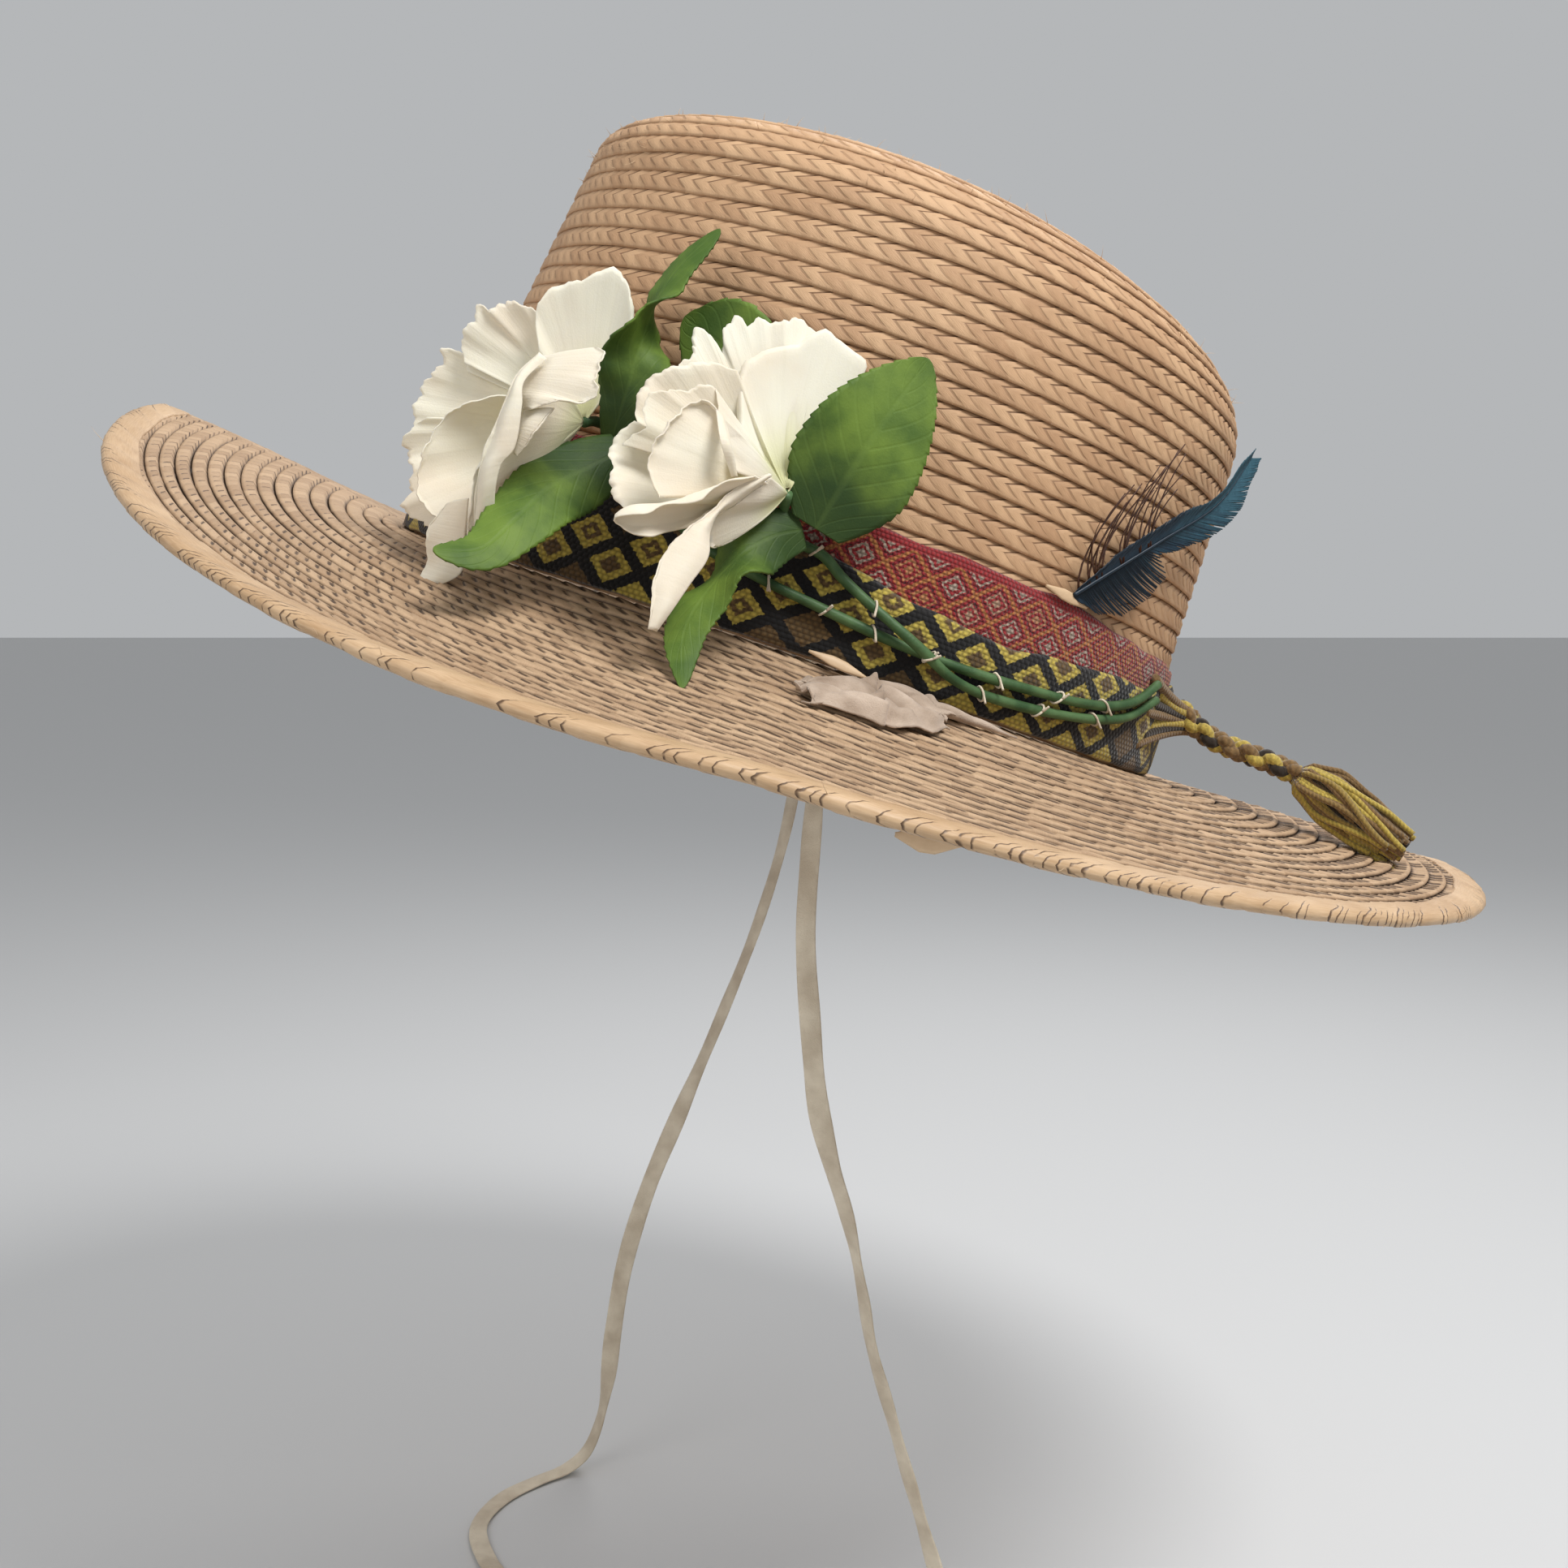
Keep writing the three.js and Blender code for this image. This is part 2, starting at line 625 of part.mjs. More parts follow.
// Chin ties, in the worn frame: each comes up through its slit and hangs from there
const TIE_LEFT_ROUTE = [
  [98.8, 9.6, -9], [98.7, 9.5, -18], [98, 9, -29], [97, 8, -42], [95, 7, -61], [92, 8, -80],
  [89, 10, -102], [87, 13, -116], [85, 17, -130], [82, 21, -150], [80, 23, -163], [78, 28, -182],
  [76, 34, -204], [74, 39, -222], [73, 41, -230],
];
const TIE_RIGHT_ROUTE = [
  [-98.8, 9.6, -9], [-98.6, 9.2, -20], [-98, 7, -40], [-96.5, 2, -66], [-94, -7, -95],
  [-91, -19, -125],
  [-88, -32, -155], [-86, -43, -181], [-85, -51, -207], [-84.5, -55, -230], [-84, -57, -247],
  [-83.5, -60, -262], [-82, -64.5, -271.5], [-79, -71, -275.8], [-73, -79, -276.5], [-61, -89, -276.5],
  [-43, -94, -276.5], [-23, -88, -276.5], [-14, -83, -276.5],
];

// The part of a tie inside its slit, from just over the brim's upper face to the free route
function tieGeometry(route, degrees) {
  const worn = new THREE.Euler(-WORN_TILT * RAD, 0, 0);
  const top = slitPlace(degrees).applyEuler(worn);
  top.z -= TIE.sunk;
  return tube([top, ...route.map((p) => vec(...p))], TIE.radius, TIE.sides, TIE.steps);
}

// Torn cloth end of a tie, lying crumpled on the brim beside the sash
const TIE_END = {
  from: 1.5,
  to: 23,
  reach: 0.185,
  halfWidth: 0.075,
  tornWidth: 0.7,
  lie: 1.35,
  crumple: 0.9,
  waves: 3,
  slant: 2.5,
  wall: 1.2,
  along: 12,
  across: 4,
};

function tieEndGeometry(rightSide) {
  const surface = (u, v) => {
    const degrees = lerp(TIE_END.from, TIE_END.to, u);
    const reach = TIE_END.reach + TIE_END.halfWidth * (2 * v - 1) * lerp(1, TIE_END.tornWidth, u);
    const wave = 0.5 + 0.5 * Math.sin(2 * Math.PI * TIE_END.waves * u + TIE_END.slant * v);
    const lie = GAP + TIE_END.lie + TIE_END.crumple * wave;
    return brimSurface(rightSide ? 180 - degrees : degrees, reach, -lie);
  };
  const facingUp = (u, v) => surface(u, rightSide ? v : 1 - v);
  return slab(facingUp, TIE_END.along, TIE_END.across, TIE_END.wall);
}

// Loose end of straw plait showing under the brim's left edge
const STRAW_TAB = {
  at: 12.6,
  reach: 0.83,
  length: 12,
  drop: 5,
  endDrop: 0.6,
  lean: 2.5,
  slant: 1.5,
  wall: 1.2,
  along: 4,
  across: 2,
};

function strawTabGeometry() {
  const place = brimSurface(STRAW_TAB.at, STRAW_TAB.reach, BRIM.wall + GAP + STRAW_TAB.wall);
  const surface = (u, v) => vec(
    place.x + STRAW_TAB.lean * v,
    place.y + STRAW_TAB.length * (u - 0.5) + STRAW_TAB.slant * v,
    place.z - STRAW_TAB.drop * v * lerp(STRAW_TAB.endDrop, 1, Math.sin(Math.PI * u)),
  );
  return slab(surface, STRAW_TAB.along, STRAW_TAB.across, STRAW_TAB.wall);
}

// Assembly
const group = new THREE.Group();
const hat = new THREE.Group();
hat.rotation.x = -WORN_TILT * RAD;
group.add(hat);

piece(hat, 'crown', crownGeometry(), COLOUR.straw);
piece(hat, 'brim', brimGeometry(), COLOUR.straw);
piece(hat, 'brim_binding', bindingGeometry(), COLOUR.binding);
piece(hat, 'red_band', bandGeometry(RED_BAND, RED_BAND_TOP), COLOUR.red);
piece(hat, 'sash_band', bandGeometry(SASH, SASH_TOP), COLOUR.sash);
FLOWERS.forEach((flower) => addFlower(hat, flower));
LEAVES.forEach((leaf) => piece(hat, leaf.name, leafGeometry(leaf), COLOUR.leaf, ROUGHNESS.leaf));
STEMS.forEach((stem) => piece(hat, stem.name, stemGeometry(stem), COLOUR.stem, ROUGHNESS.stem));
piece(hat, 'feather', featherGeometry(), COLOUR.feather, ROUGHNESS.feather);
const tailPoints = TAIL_ROUTE.map((p) => vec(...p));
piece(hat, 'tail_braid', tube(tailPoints, BRAID.radius, BRAID.sides, BRAID.steps), COLOUR.yarn);
tasselMesh(hat);
piece(hat, 'tie_end_left', tieEndGeometry(false), COLOUR.cotton);
piece(hat, 'tie_end_right', tieEndGeometry(true), COLOUR.cotton);
piece(hat, 'straw_tab', strawTabGeometry(), COLOUR.binding);
piece(group, 'chin_tie_left', tieGeometry(TIE_LEFT_ROUTE, TIE.slitAt), COLOUR.cotton);
piece(group, 'chin_tie_right', tieGeometry(TIE_RIGHT_ROUTE, 180 - TIE.slitAt), COLOUR.cotton);

export default group;
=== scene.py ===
import math

import bmesh
import bpy
import numpy as np
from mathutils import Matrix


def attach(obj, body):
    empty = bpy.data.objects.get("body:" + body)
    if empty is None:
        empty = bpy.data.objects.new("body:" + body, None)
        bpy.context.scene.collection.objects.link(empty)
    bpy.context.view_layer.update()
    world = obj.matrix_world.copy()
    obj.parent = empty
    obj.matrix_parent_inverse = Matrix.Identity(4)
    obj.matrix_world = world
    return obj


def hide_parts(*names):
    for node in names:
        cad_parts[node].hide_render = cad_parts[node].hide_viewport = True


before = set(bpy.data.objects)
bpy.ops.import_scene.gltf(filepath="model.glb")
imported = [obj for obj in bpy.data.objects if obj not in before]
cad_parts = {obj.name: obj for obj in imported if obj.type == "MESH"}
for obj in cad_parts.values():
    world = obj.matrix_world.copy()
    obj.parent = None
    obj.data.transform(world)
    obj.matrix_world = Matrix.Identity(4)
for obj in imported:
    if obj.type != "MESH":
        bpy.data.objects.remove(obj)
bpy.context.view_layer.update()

# Sizes in millimetres in the hat's own frame: front -Y, wearer's left +X, up +Z
MM = 0.001
TILT = math.radians(18.5)
GAP = 0.35
CROWN_FOOT = (84.5, 103.0)
CROWN_TOP = (75.4, 92.0)
CROWN_HEIGHT = 116.5
CROWN_WALL = 2.2
TOP_SHIFT = 6.9
MEAN_TOP_SHIFT = 5.8
BACK_FALL = 7.3
TOP_SLOPE = 0.024
FOOT_ARCH = 3.8
TOP_ARCH = 7.0
DOME = 10.3
SHOULDER = (12.0, 24.0)
BRIM_FRONT = 77.5
BRIM_BACK = 93.7
BRIM_SIDE = 91.8
SIDE_DROP = 15.0
FRONT_LIFT = 10.6
BACK_LIFT = 3.2
FRONT_BEND = 1.4
BACK_BEND = 1.6
TWIST = 7.7
FALL_OFF = 1.6
BRIM_INNER = -0.026
FLOOR = -277.1

TINY = 1e-9
MERGE_METRES = 1e-7
FINER = 8
ASKEW = 0.01
SEED = 41
rng = np.random.default_rng(SEED)


# Helpers for shapes
def unit(v):
    """Each vector divided by its length."""
    return v / np.maximum(np.linalg.norm(v, axis=-1, keepdims=True), TINY)


def ease(low, high, x):
    """Smooth step from 0 at low to 1 at high."""
    t = np.clip((x - low) / (high - low), 0, 1)
    return t * t * (3 - 2 * t)


def ripple(x, *waves):
    """Sum of sine waves along x, each with its height, rate and start."""
    return sum(height * np.sin(rate * x + start) for height, rate, start in waves)


def distance_along(path):
    """Distance from the start of a line to each of its points, step by step."""
    return np.concatenate([[0.0], np.cumsum(np.linalg.norm(np.diff(path, axis=0), axis=1))])


def sheet_places(steps):
    """Places on a sheet in rows and columns: u from 0 to 1 along it, v from -1 to 1 across it."""
    return np.meshgrid(np.linspace(0, 1, steps[0]), np.linspace(-1, 1, steps[1]), indexing="ij")


def worn(points):
    """Hat frame in mm to worn frame in metres: a turn about X by the tilt, front up."""
    p = np.asarray(points, float)
    y = p[..., 1] * math.cos(TILT) + p[..., 2] * math.sin(TILT)
    z = p[..., 2] * math.cos(TILT) - p[..., 1] * math.sin(TILT)
    return np.stack([p[..., 0], y, z], -1) * MM


def table(rows, x):
    """Column of a table of (place, value) rows at x, eased between rows by half a cosine."""
    places, values = np.asarray(rows, float).T
    i = np.clip(np.searchsorted(places, x), 1, len(places) - 1)
    share = np.clip((x - places[i - 1]) / (places[i] - places[i - 1]), 0, 1)
    return values[i - 1] + (values[i] - values[i - 1]) * (0.5 - 0.5 * np.cos(np.pi * share))


def smooth_path(points, count):
    """Centripetal Catmull-Rom line through the points, then cut into even lengths."""
    p = np.asarray(points, float)
    p = np.vstack([2 * p[0] - p[1], p, 2 * p[-1] - p[-2]])
    steps = np.sqrt(np.linalg.norm(np.diff(p, axis=0), axis=1))
    knots = np.concatenate([[0.0], np.cumsum(steps)])
    t = np.linspace(knots[1], knots[-2], FINER * count)
    i = np.clip(np.searchsorted(knots, t, side="right") - 1, 1, len(p) - 3)
    k = [knots[i + s] for s in (-1, 0, 1, 2)]
    q = [p[i + s] for s in (-1, 0, 1, 2)]

    def between(a, b, low, high):
        """From a at low to b at high, in proportion."""
        share = ((t - low) / (high - low))[:, None]
        return a * (1 - share) + b * share

    a = [between(q[s], q[s + 1], k[s], k[s + 1]) for s in range(3)]
    b = [between(a[s], a[s + 1], k[s], k[s + 2]) for s in range(2)]
    return even(between(b[0], b[1], k[1], k[2]), count)


def even(path, count):
    """The same line with count points at equal distances along it."""
    along = distance_along(path)
    at = np.linspace(0, along[-1], count)
    return np.stack([np.interp(at, along, path[:, c]) for c in range(3)], -1)


def bow(root, middle, tip, u):
    """Quadratic curve from root to tip that passes the middle point half-way."""
    root, middle, tip = (np.asarray(p, float) for p in (root, middle, tip))
    bend = 2 * middle - 0.5 * root - 0.5 * tip
    u = u[..., None]
    return root * (1 - u) ** 2 + bend * 2 * u * (1 - u) + tip * u * u


def grid(points, uv=None, loop_rows=False, loop_cols=False, **marks):
    """Part of a mesh from rows and columns of points, as quads; a loop joins last to first."""
    rows, cols = points.shape[:2]
    a, b = np.meshgrid(
        np.arange(rows if loop_rows else rows - 1),
        np.arange(cols if loop_cols else cols - 1),
        indexing="ij",
    )
    corners = [(a, b), (a + 1, b), (a + 1, b + 1), (a, b + 1)]
    quads = np.stack([(i % rows) * cols + j % cols for i, j in corners], -1).reshape(-1, 4)
    if uv is None:
        i, j = np.meshgrid(np.arange(rows + 1), np.arange(cols + 1), indexing="ij")
        uv = np.stack([i / rows, j / cols], -1)
    corner_uv = np.stack([uv[i, j] for i, j in corners], -2).reshape(-1, 4, 2)
    flat = {k: np.broadcast_to(v, (rows, cols)).reshape(-1) for k, v in marks.items()}
    return {"points": points.reshape(-1, 3), "quads": quads, "uv": corner_uv, "marks": flat}


def sweep(path, section, face):
    """Carries a section of (across, out) points along a path; out leans towards face."""
    tangent = unit(np.gradient(path, axis=0))
    across = unit(np.cross(tangent, np.broadcast_to(face, path.shape)))
    out = np.cross(across, tangent)
    section = np.broadcast_to(section, (len(path),) + np.shape(section)[-2:])
    return path[:, None] + section[..., :1] * across[:, None] + section[..., 1:] * out[:, None]


def capped(rings):
    """Rings with a closing point at each end, as a ring that has shrunk to its centre."""
    first = np.repeat(rings[:1].mean(1, keepdims=True), rings.shape[1], 1)
    last = np.repeat(rings[-1:].mean(1, keepdims=True), rings.shape[1], 1)
    return np.concatenate([first, rings, last])


def tube(path, section, face, **marks):
    """Closed tube: the section along the path, with both ends closed. UV is (along, around)."""
    rings = capped(sweep(path, section, face))
    along = distance_along(path)
    along = np.concatenate([[along[0]], along, [along[-1]]])
    around = np.linspace(0, 1, rings.shape[1] + 1)
    uv = np.stack(np.meshgrid(along, around, indexing="ij"), -1)
    return grid(rings, uv, loop_cols=True, **marks)


def circle(radius, sides):
    """Points of a circle as (across, out)."""
    a = np.linspace(0, 2 * np.pi, sides, endpoint=False)
    return np.stack([np.cos(a), np.sin(a)], -1) * radius


def normals(points):
    """Unit normals of a grid: the cross product of its two slopes."""
    return unit(np.cross(np.gradient(points, axis=0), np.gradient(points, axis=1)))


def shell(points, thickness, uv=None):
    """Thin closed sheet: the grid moved half a thickness each way, joined round its border."""
    lift = normals(points) * 0.5 * thickness
    rows, cols = points.shape[:2]
    ring = np.concatenate([points + lift, (points - lift)[:, ::-1]], 1)
    if uv is None:
        u, v = np.meshgrid(np.linspace(0, 1, rows), np.linspace(0, 1, cols), indexing="ij")
        uv = np.stack([u, v], -1)
    both = np.concatenate([uv, uv[:, ::-1], uv[:, :1]], 1)
    middle = np.concatenate([points, points[:, ::-1]], 1)
    ring = np.concatenate([middle[:1], ring, middle[-1:]])
    both = np.concatenate([both[:1], both, both[-1:]])
    return grid(ring, both, loop_cols=True)


def piece(name, parts, finish, nodes=(), turn=True):
    """One object from mesh parts: joined, doubles merged, faces turned outwards, on the body."""
    start = np.cumsum([0] + [len(p["points"]) for p in parts])
    points = np.concatenate([p["points"] for p in parts])
    points = worn(points) if turn else points * MM
    quads = np.concatenate([p["quads"] + s for p, s in zip(parts, start)])
    mesh = bpy.data.meshes.new(name)
    mesh.vertices.add(len(points))
    mesh.vertices.foreach_set("co", points.ravel())
    mesh.loops.add(4 * len(quads))
    mesh.loops.foreach_set("vertex_index", quads.ravel().astype(np.int32))
    mesh.polygons.add(len(quads))
    mesh.polygons.foreach_set("loop_start", np.arange(0, 4 * len(quads), 4, dtype=np.int32))
    mesh.uv_layers.new(name="lay")
    uv = np.concatenate([p["uv"] for p in parts])
    mesh.uv_layers[0].data.foreach_set("uv", uv.ravel().astype(np.float32))
    for mark in parts[0]["marks"]:
        values = np.concatenate([p["marks"][mark] for p in parts]).astype(np.float32)
        mesh.attributes.new(mark, "FLOAT", "POINT").data.foreach_set("value", values)
    mesh.update(calc_edges=True)
    shape = bmesh.new()
    shape.from_mesh(mesh)
    bmesh.ops.remove_doubles(shape, verts=shape.verts, dist=MERGE_METRES)
    bmesh.ops.recalc_face_normals(shape, faces=shape.faces)
    shape.to_mesh(mesh)
    shape.free()
    mesh.polygons.foreach_set("use_smooth", np.ones(len(mesh.polygons), bool))
    mesh.update()
    mesh.materials.append(finish)
    obj = bpy.data.objects.new(name, mesh)
    bpy.context.scene.collection.objects.link(obj)
    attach(obj, "root")
    if nodes:
        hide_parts(*nodes)
    return obj


# The hat's surfaces
def crown_wall(degrees, height, out=0.0):
    """Crown's side: an ellipse that narrows and moves back with height, raised at the sides."""
    phi = np.radians(degrees)
    k = np.asarray(height, float) / CROWN_HEIGHT
    half_x = CROWN_FOOT[0] + (CROWN_TOP[0] - CROWN_FOOT[0]) * k + out
    half_y = CROWN_FOOT[1] + (CROWN_TOP[1] - CROWN_FOOT[1]) * k + out
    y = half_y * np.sin(phi) + TOP_SHIFT * k
    arch = (FOOT_ARCH + (TOP_ARCH - FOOT_ARCH) * k) * np.cos(phi) ** 2
    z = k * CROWN_HEIGHT - TOP_SLOPE * k * y + arch
    x = half_x * np.cos(phi)
    return np.stack(np.broadcast_arrays(x, y, z), -1)


def crown_back(phi):
    """How far the top falls and how large the shoulder's radius is, by direction."""
    back = 0.5 + 0.5 * np.sin(phi)
    return BACK_FALL * back**2, SHOULDER[0] + (SHOULDER[1] - SHOULDER[0]) * back


def crown_surface(phi, stage, out):
    """Crown: stage 0 to 1 climbs the wall, 1 to 2 rounds the shoulder, 2 to 3 crosses the top."""
    fall, shoulder = crown_back(phi)
    climb = np.minimum(stage, 1) * (CROWN_HEIGHT - fall - shoulder)
    turn = np.clip(stage - 1, 0, 1) * 0.5 * np.pi
    rho = 1 - np.clip(stage - 2, 0, 1)
    k = climb / CROWN_HEIGHT
    pull = (shoulder + out) * (1 - np.cos(turn)) - out
    half_x = (CROWN_FOOT[0] + (CROWN_TOP[0] - CROWN_FOOT[0]) * k - pull) * rho
    half_y = (CROWN_FOOT[1] + (CROWN_TOP[1] - CROWN_FOOT[1]) * k - pull) * rho
    y = half_y * np.sin(phi) + MEAN_TOP_SHIFT + (TOP_SHIFT * k - MEAN_TOP_SHIFT) * rho
    arch = (FOOT_ARCH + (TOP_ARCH - FOOT_ARCH) * k) * (rho * np.cos(phi)) ** 2
    rise = (shoulder + out) * np.sin(turn) + (DOME + fall) * (1 - rho**2)
    z = climb + rise - TOP_SLOPE * k * y * rho + arch
    return np.stack([half_x * np.cos(phi), y, z], -1)


def brim_width(phi):
    """Brim's width in the direction phi, front or back of the hat."""
    return np.where(np.sin(phi) < 0, BRIM_FRONT, BRIM_BACK)


def brim_surface(phi, reach, up=0.0):
    """Brim's upper face: reach 0 at the crown, 1 at the rim; it droops at the sides."""
    s, c = np.sin(phi), np.cos(phi)
    lift = np.where(s < 0, FRONT_LIFT, BACK_LIFT)
    side = np.abs(c) ** np.where(s < 0, FRONT_BEND, BACK_BEND)
    spread = np.maximum(reach, 0)
    fall = 1 - (1 - np.minimum(spread, 1)) ** FALL_OFF
    twist = TWIST * np.maximum(0, -np.sin(2 * phi))
    z = FOOT_ARCH * c * c * (1 - spread) + (lift * (1 - side) - SIDE_DROP * side - twist) * fall
    x = (CROWN_FOOT[0] + BRIM_SIDE * reach) * c
    y = (CROWN_FOOT[1] + brim_width(phi) * reach) * s
    return np.stack(np.broadcast_arrays(x, y, z - GAP + up), -1)


def reach_from_edge(phi, distance):
    """Reach that lies a distance inside the brim's outer edge."""
    return 1 - distance / np.hypot(BRIM_SIDE * np.cos(phi), brim_width(phi) * np.sin(phi))


# Finishes
SHINE = 0.3
ROUGH_DETAIL = 2.0
FINE_DETAIL = 4.0
# Socket numbers of a colour mix: share, first colour, second colour and result
MIX_SHARE, MIX_FIRST, MIX_SECOND, MIX_RESULT = 0, 6, 7, 2


class Wire:
    """A number or colour between shader nodes. Each sum, difference, product or quotient of a
    wire with a wire or a number adds one node."""

    def __init__(self, finish, socket):
        """Keeps the finish that it belongs to and the node's socket."""
        self.finish = finish
        self.socket = socket

    def __add__(self, other):
        """This plus the other."""
        return self.finish.math("ADD", self, other)

    def __mul__(self, other):
        """This times the other."""
        return self.finish.math("MULTIPLY", self, other)

    def __sub__(self, other):
        """This less the other."""
        return self.finish.math("SUBTRACT", self, other)

    def __rsub__(self, other):
        """The other less this."""
        return self.finish.math("SUBTRACT", other, self)

    def __truediv__(self, other):
        """This divided by the other."""
        return self.finish.math("DIVIDE", self, other)

    __radd__ = __add__
    __rmul__ = __mul__


class Finish:
    """A material: the Principled shader and the nodes that feed it."""

    def __init__(self, name, roughness, sheen=0.0):
        """A new material with its roughness and sheen set."""
        self.material = bpy.data.materials.new(name)
        self.material.use_nodes = True
        self.nodes = self.material.node_tree.nodes
        self.links = self.material.node_tree.links
        self.shader = self.nodes["Principled BSDF"]
        self.shader.inputs["Roughness"].default_value = roughness
        self.shader.inputs["Specular IOR Level"].default_value = SHINE
        self.shader.inputs["Sheen Weight"].default_value = sheen

    def feed(self, socket, value):
        """A socket takes a wire or a plain value; a colour of three gets its alpha."""
        if isinstance(value, Wire):
            self.links.new(value.socket, socket)
        elif isinstance(value, tuple) and len(value) == 3 and socket.type == "RGBA":
            socket.default_value = (*value, 1.0)
        else:
            socket.default_value = value

    def add(self, kind, inputs, output=0, **settings):
        """A new node with its settings made and its inputs fed; gives one of its outputs."""
        node = self.nodes.new(kind)
        for key, value in settings.items():
            setattr(node, key, value)
        for key, value in inputs.items():
            self.feed(node.inputs[key], value)
        return Wire(self, node.outputs[output])

    def math(self, operation, *values):
        """One arithmetic step."""
        return self.add("ShaderNodeMath", dict(enumerate(values)), operation=operation)

    def whole(self, x):
        """The whole number at or below x."""
        return self.math("FLOOR", x)

    def part(self, x):
        """What x has over its whole number."""
        return self.math("FRACT", x)

    def least(self, a, b):
        """The smaller of two numbers."""
        return self.math("MINIMUM", a, b)

    def most(self, a, b):
        """The larger of two numbers."""
        return self.math("MAXIMUM", a, b)

    def wave(self, x):
        """Sine of x."""
        return self.math("SINE", x)

    def from_whole(self, x):
        """Distance of x from the nearest whole number."""
        part = self.part(x)
        return self.least(part, 1.0 - part)

    def step(self, limits, value):
        """Smooth step of a value from 0 at the first limit to 1 at the second."""
        inputs = {"Value": value, "From Min": limits[0], "From Max": limits[1]}
        return self.add("ShaderNodeMapRange", inputs, interpolation_type="SMOOTHSTEP")

    def mix(self, share, a, b, blend="MIX"):
        """Colour a turning into colour b by a share."""
        inputs = {MIX_SHARE: share, MIX_FIRST: a, MIX_SECOND: b}
        return self.add("ShaderNodeMix", inputs, MIX_RESULT, data_type="RGBA", blend_type=blend)

    def shade(self, colour, share):
        """The colour times a grey share."""
        return self.mix(1.0, colour, self.vector(share, share, share), "MULTIPLY")

    def uv(self):
        """The piece's own UV as two numbers."""
        split = self.nodes.new("ShaderNodeSeparateXYZ")
        self.feed(split.inputs[0], self.add("ShaderNodeUVMap", {}, uv_map="lay"))
        return Wire(self, split.outputs[0]), Wire(self, split.outputs[1])

    def place(self):
        """Object coordinates, in metres."""
        return self.add("ShaderNodeTexCoord", {}, "Object")

    def vector(self, x, y, z=0.0):
        """Three numbers as a vector."""
        return self.add("ShaderNodeCombineXYZ", {"X": x, "Y": y, "Z": z})

    def noise(self, vector, scale, detail=3.0):
        """Cloudy noise from 0 to 1."""
        return self.add("ShaderNodeTexNoise", {"Vector": vector, "Scale": scale, "Detail": detail})

    def chance(self, x, y):
        """A fixed random number for each whole x and y."""
        inputs = {"Vector": self.vector(x, y)}
        return self.add("ShaderNodeTexWhiteNoise", inputs, "Value", noise_dimensions="2D")

    def mark(self, name):
        """A number that the piece carries on its points."""
        return self.add("ShaderNodeAttribute", {}, "Fac", attribute_name=name)

    def done(self, colour, height=None, strength=0.0, depth=0.0):
        """Connects the colour and, where given, a bump of that height."""
        self.feed(self.shader.inputs["Base Color"], colour)
        if height is not None:
            inputs = {"Height": height, "Strength": strength, "Distance": depth}
            self.feed(self.shader.inputs["Normal"], self.add("ShaderNodeBump", inputs))
        return self.material


# Straw. A pair of limits says where a mark starts and where it is full; a bump is a strength and
# a depth in metres; a grain is a noise's scale, per metre on object coordinates.
STRAW_ROUGHNESS = 0.62
STRAW_BUMP = (0.5, 0.0003)
FIBRE_SCALE = (9.0, 2.2)
FIBRE_GRAIN = 2.0
CLOUD_GRAIN = 22.0
SPECK_GRAIN = 900.0
FIBRE_SHARE = 0.45
CLOUD_SHARE = 0.35
STRAND_SHARE = 0.35
TONE_LIMITS = (0.2, 0.95)
# How fast the painted shade of a crease fades on the strand's far side, against its near side
FAR_CREASE = 0.7
CREASE_CORE = 0.3
CREASE_SHADE_SHARE = 0.9
CREASE_DEPTH = 2.0
UPPER_START = (0.54, 0.62)
UPPER_END = (1.0, 0.93)
LOWER_START = (0.12, 0.24)
BROKEN_LIMITS = (0.1, 0.55)
OTHER_DRAW = 0.5
PATCH_SCALE = 0.45
PATCH_FADE = 0.3
SPECK_IN_GAP = 0.15
SPECK_HEIGHT = 0.35
GAP_SHADOW_LIMITS = (0.32, 1.0)
GAP_SHADOW_SHARE = 0.92


def straw_finish(name, pale, deep, painted_shade_colour, crease_width, low_share, gap_from):
    """Plaited straw: each strand has its own tone, painted shade in the creases at its edges, fine fibres
    along it, and painted shadow in the gaps under each row's lip. UV is (strand, row)."""
    f = Finish(name, STRAW_ROUGHNESS)
    u, v = f.uv()
    strand = f.whole(u)
    row = f.whole(v)
    across = f.part(u)
    rise = f.part(v)
    fibre = f.noise(f.vector(FIBRE_SCALE[0] * u, FIBRE_SCALE[1] * v), FIBRE_GRAIN, FINE_DETAIL)
    cloud = f.noise(f.place(), CLOUD_GRAIN, FINE_DETAIL)
    speck = f.noise(f.place(), SPECK_GRAIN, ROUGH_DETAIL)
    tone = STRAND_SHARE * f.chance(strand, row) + CLOUD_SHARE * cloud + FIBRE_SHARE * fibre
    colour = f.mix(f.step(TONE_LIMITS, tone), deep, pale)
    # Painted shade in the creases at each strand's edges, broken here and there
    edge = f.least(across, FAR_CREASE - FAR_CREASE * across)
    line = f.step((crease_width, CREASE_CORE * crease_width), edge)
    upper = f.step(UPPER_START, rise) * f.step(UPPER_END, rise)
    shown = f.most(upper, low_share * f.step(LOWER_START, rise))
    broken = f.step(BROKEN_LIMITS, f.chance(strand + OTHER_DRAW, row))
    crease = CREASE_SHADE_SHARE * line * shown * broken
    colour = f.mix(crease, colour, painted_shade_colour)
    # Painted shadow in the gaps under each row's lips, broken in patches
    patchy = f.noise(f.vector(PATCH_SCALE * u, row), 1.0, ROUGH_DETAIL)
    lip_shadow_mask = f.mark("gap") * f.step((gap_from, gap_from + PATCH_FADE), patchy)
    painted_gap_shadow = f.step(GAP_SHADOW_LIMITS, SPECK_IN_GAP * speck + lip_shadow_mask)
    colour = f.mix(GAP_SHADOW_SHARE * painted_gap_shadow, colour, painted_shade_colour)
    height = SPECK_HEIGHT * speck + fibre - CREASE_DEPTH * crease
    return f.done(colour, height, *STRAW_BUMP)
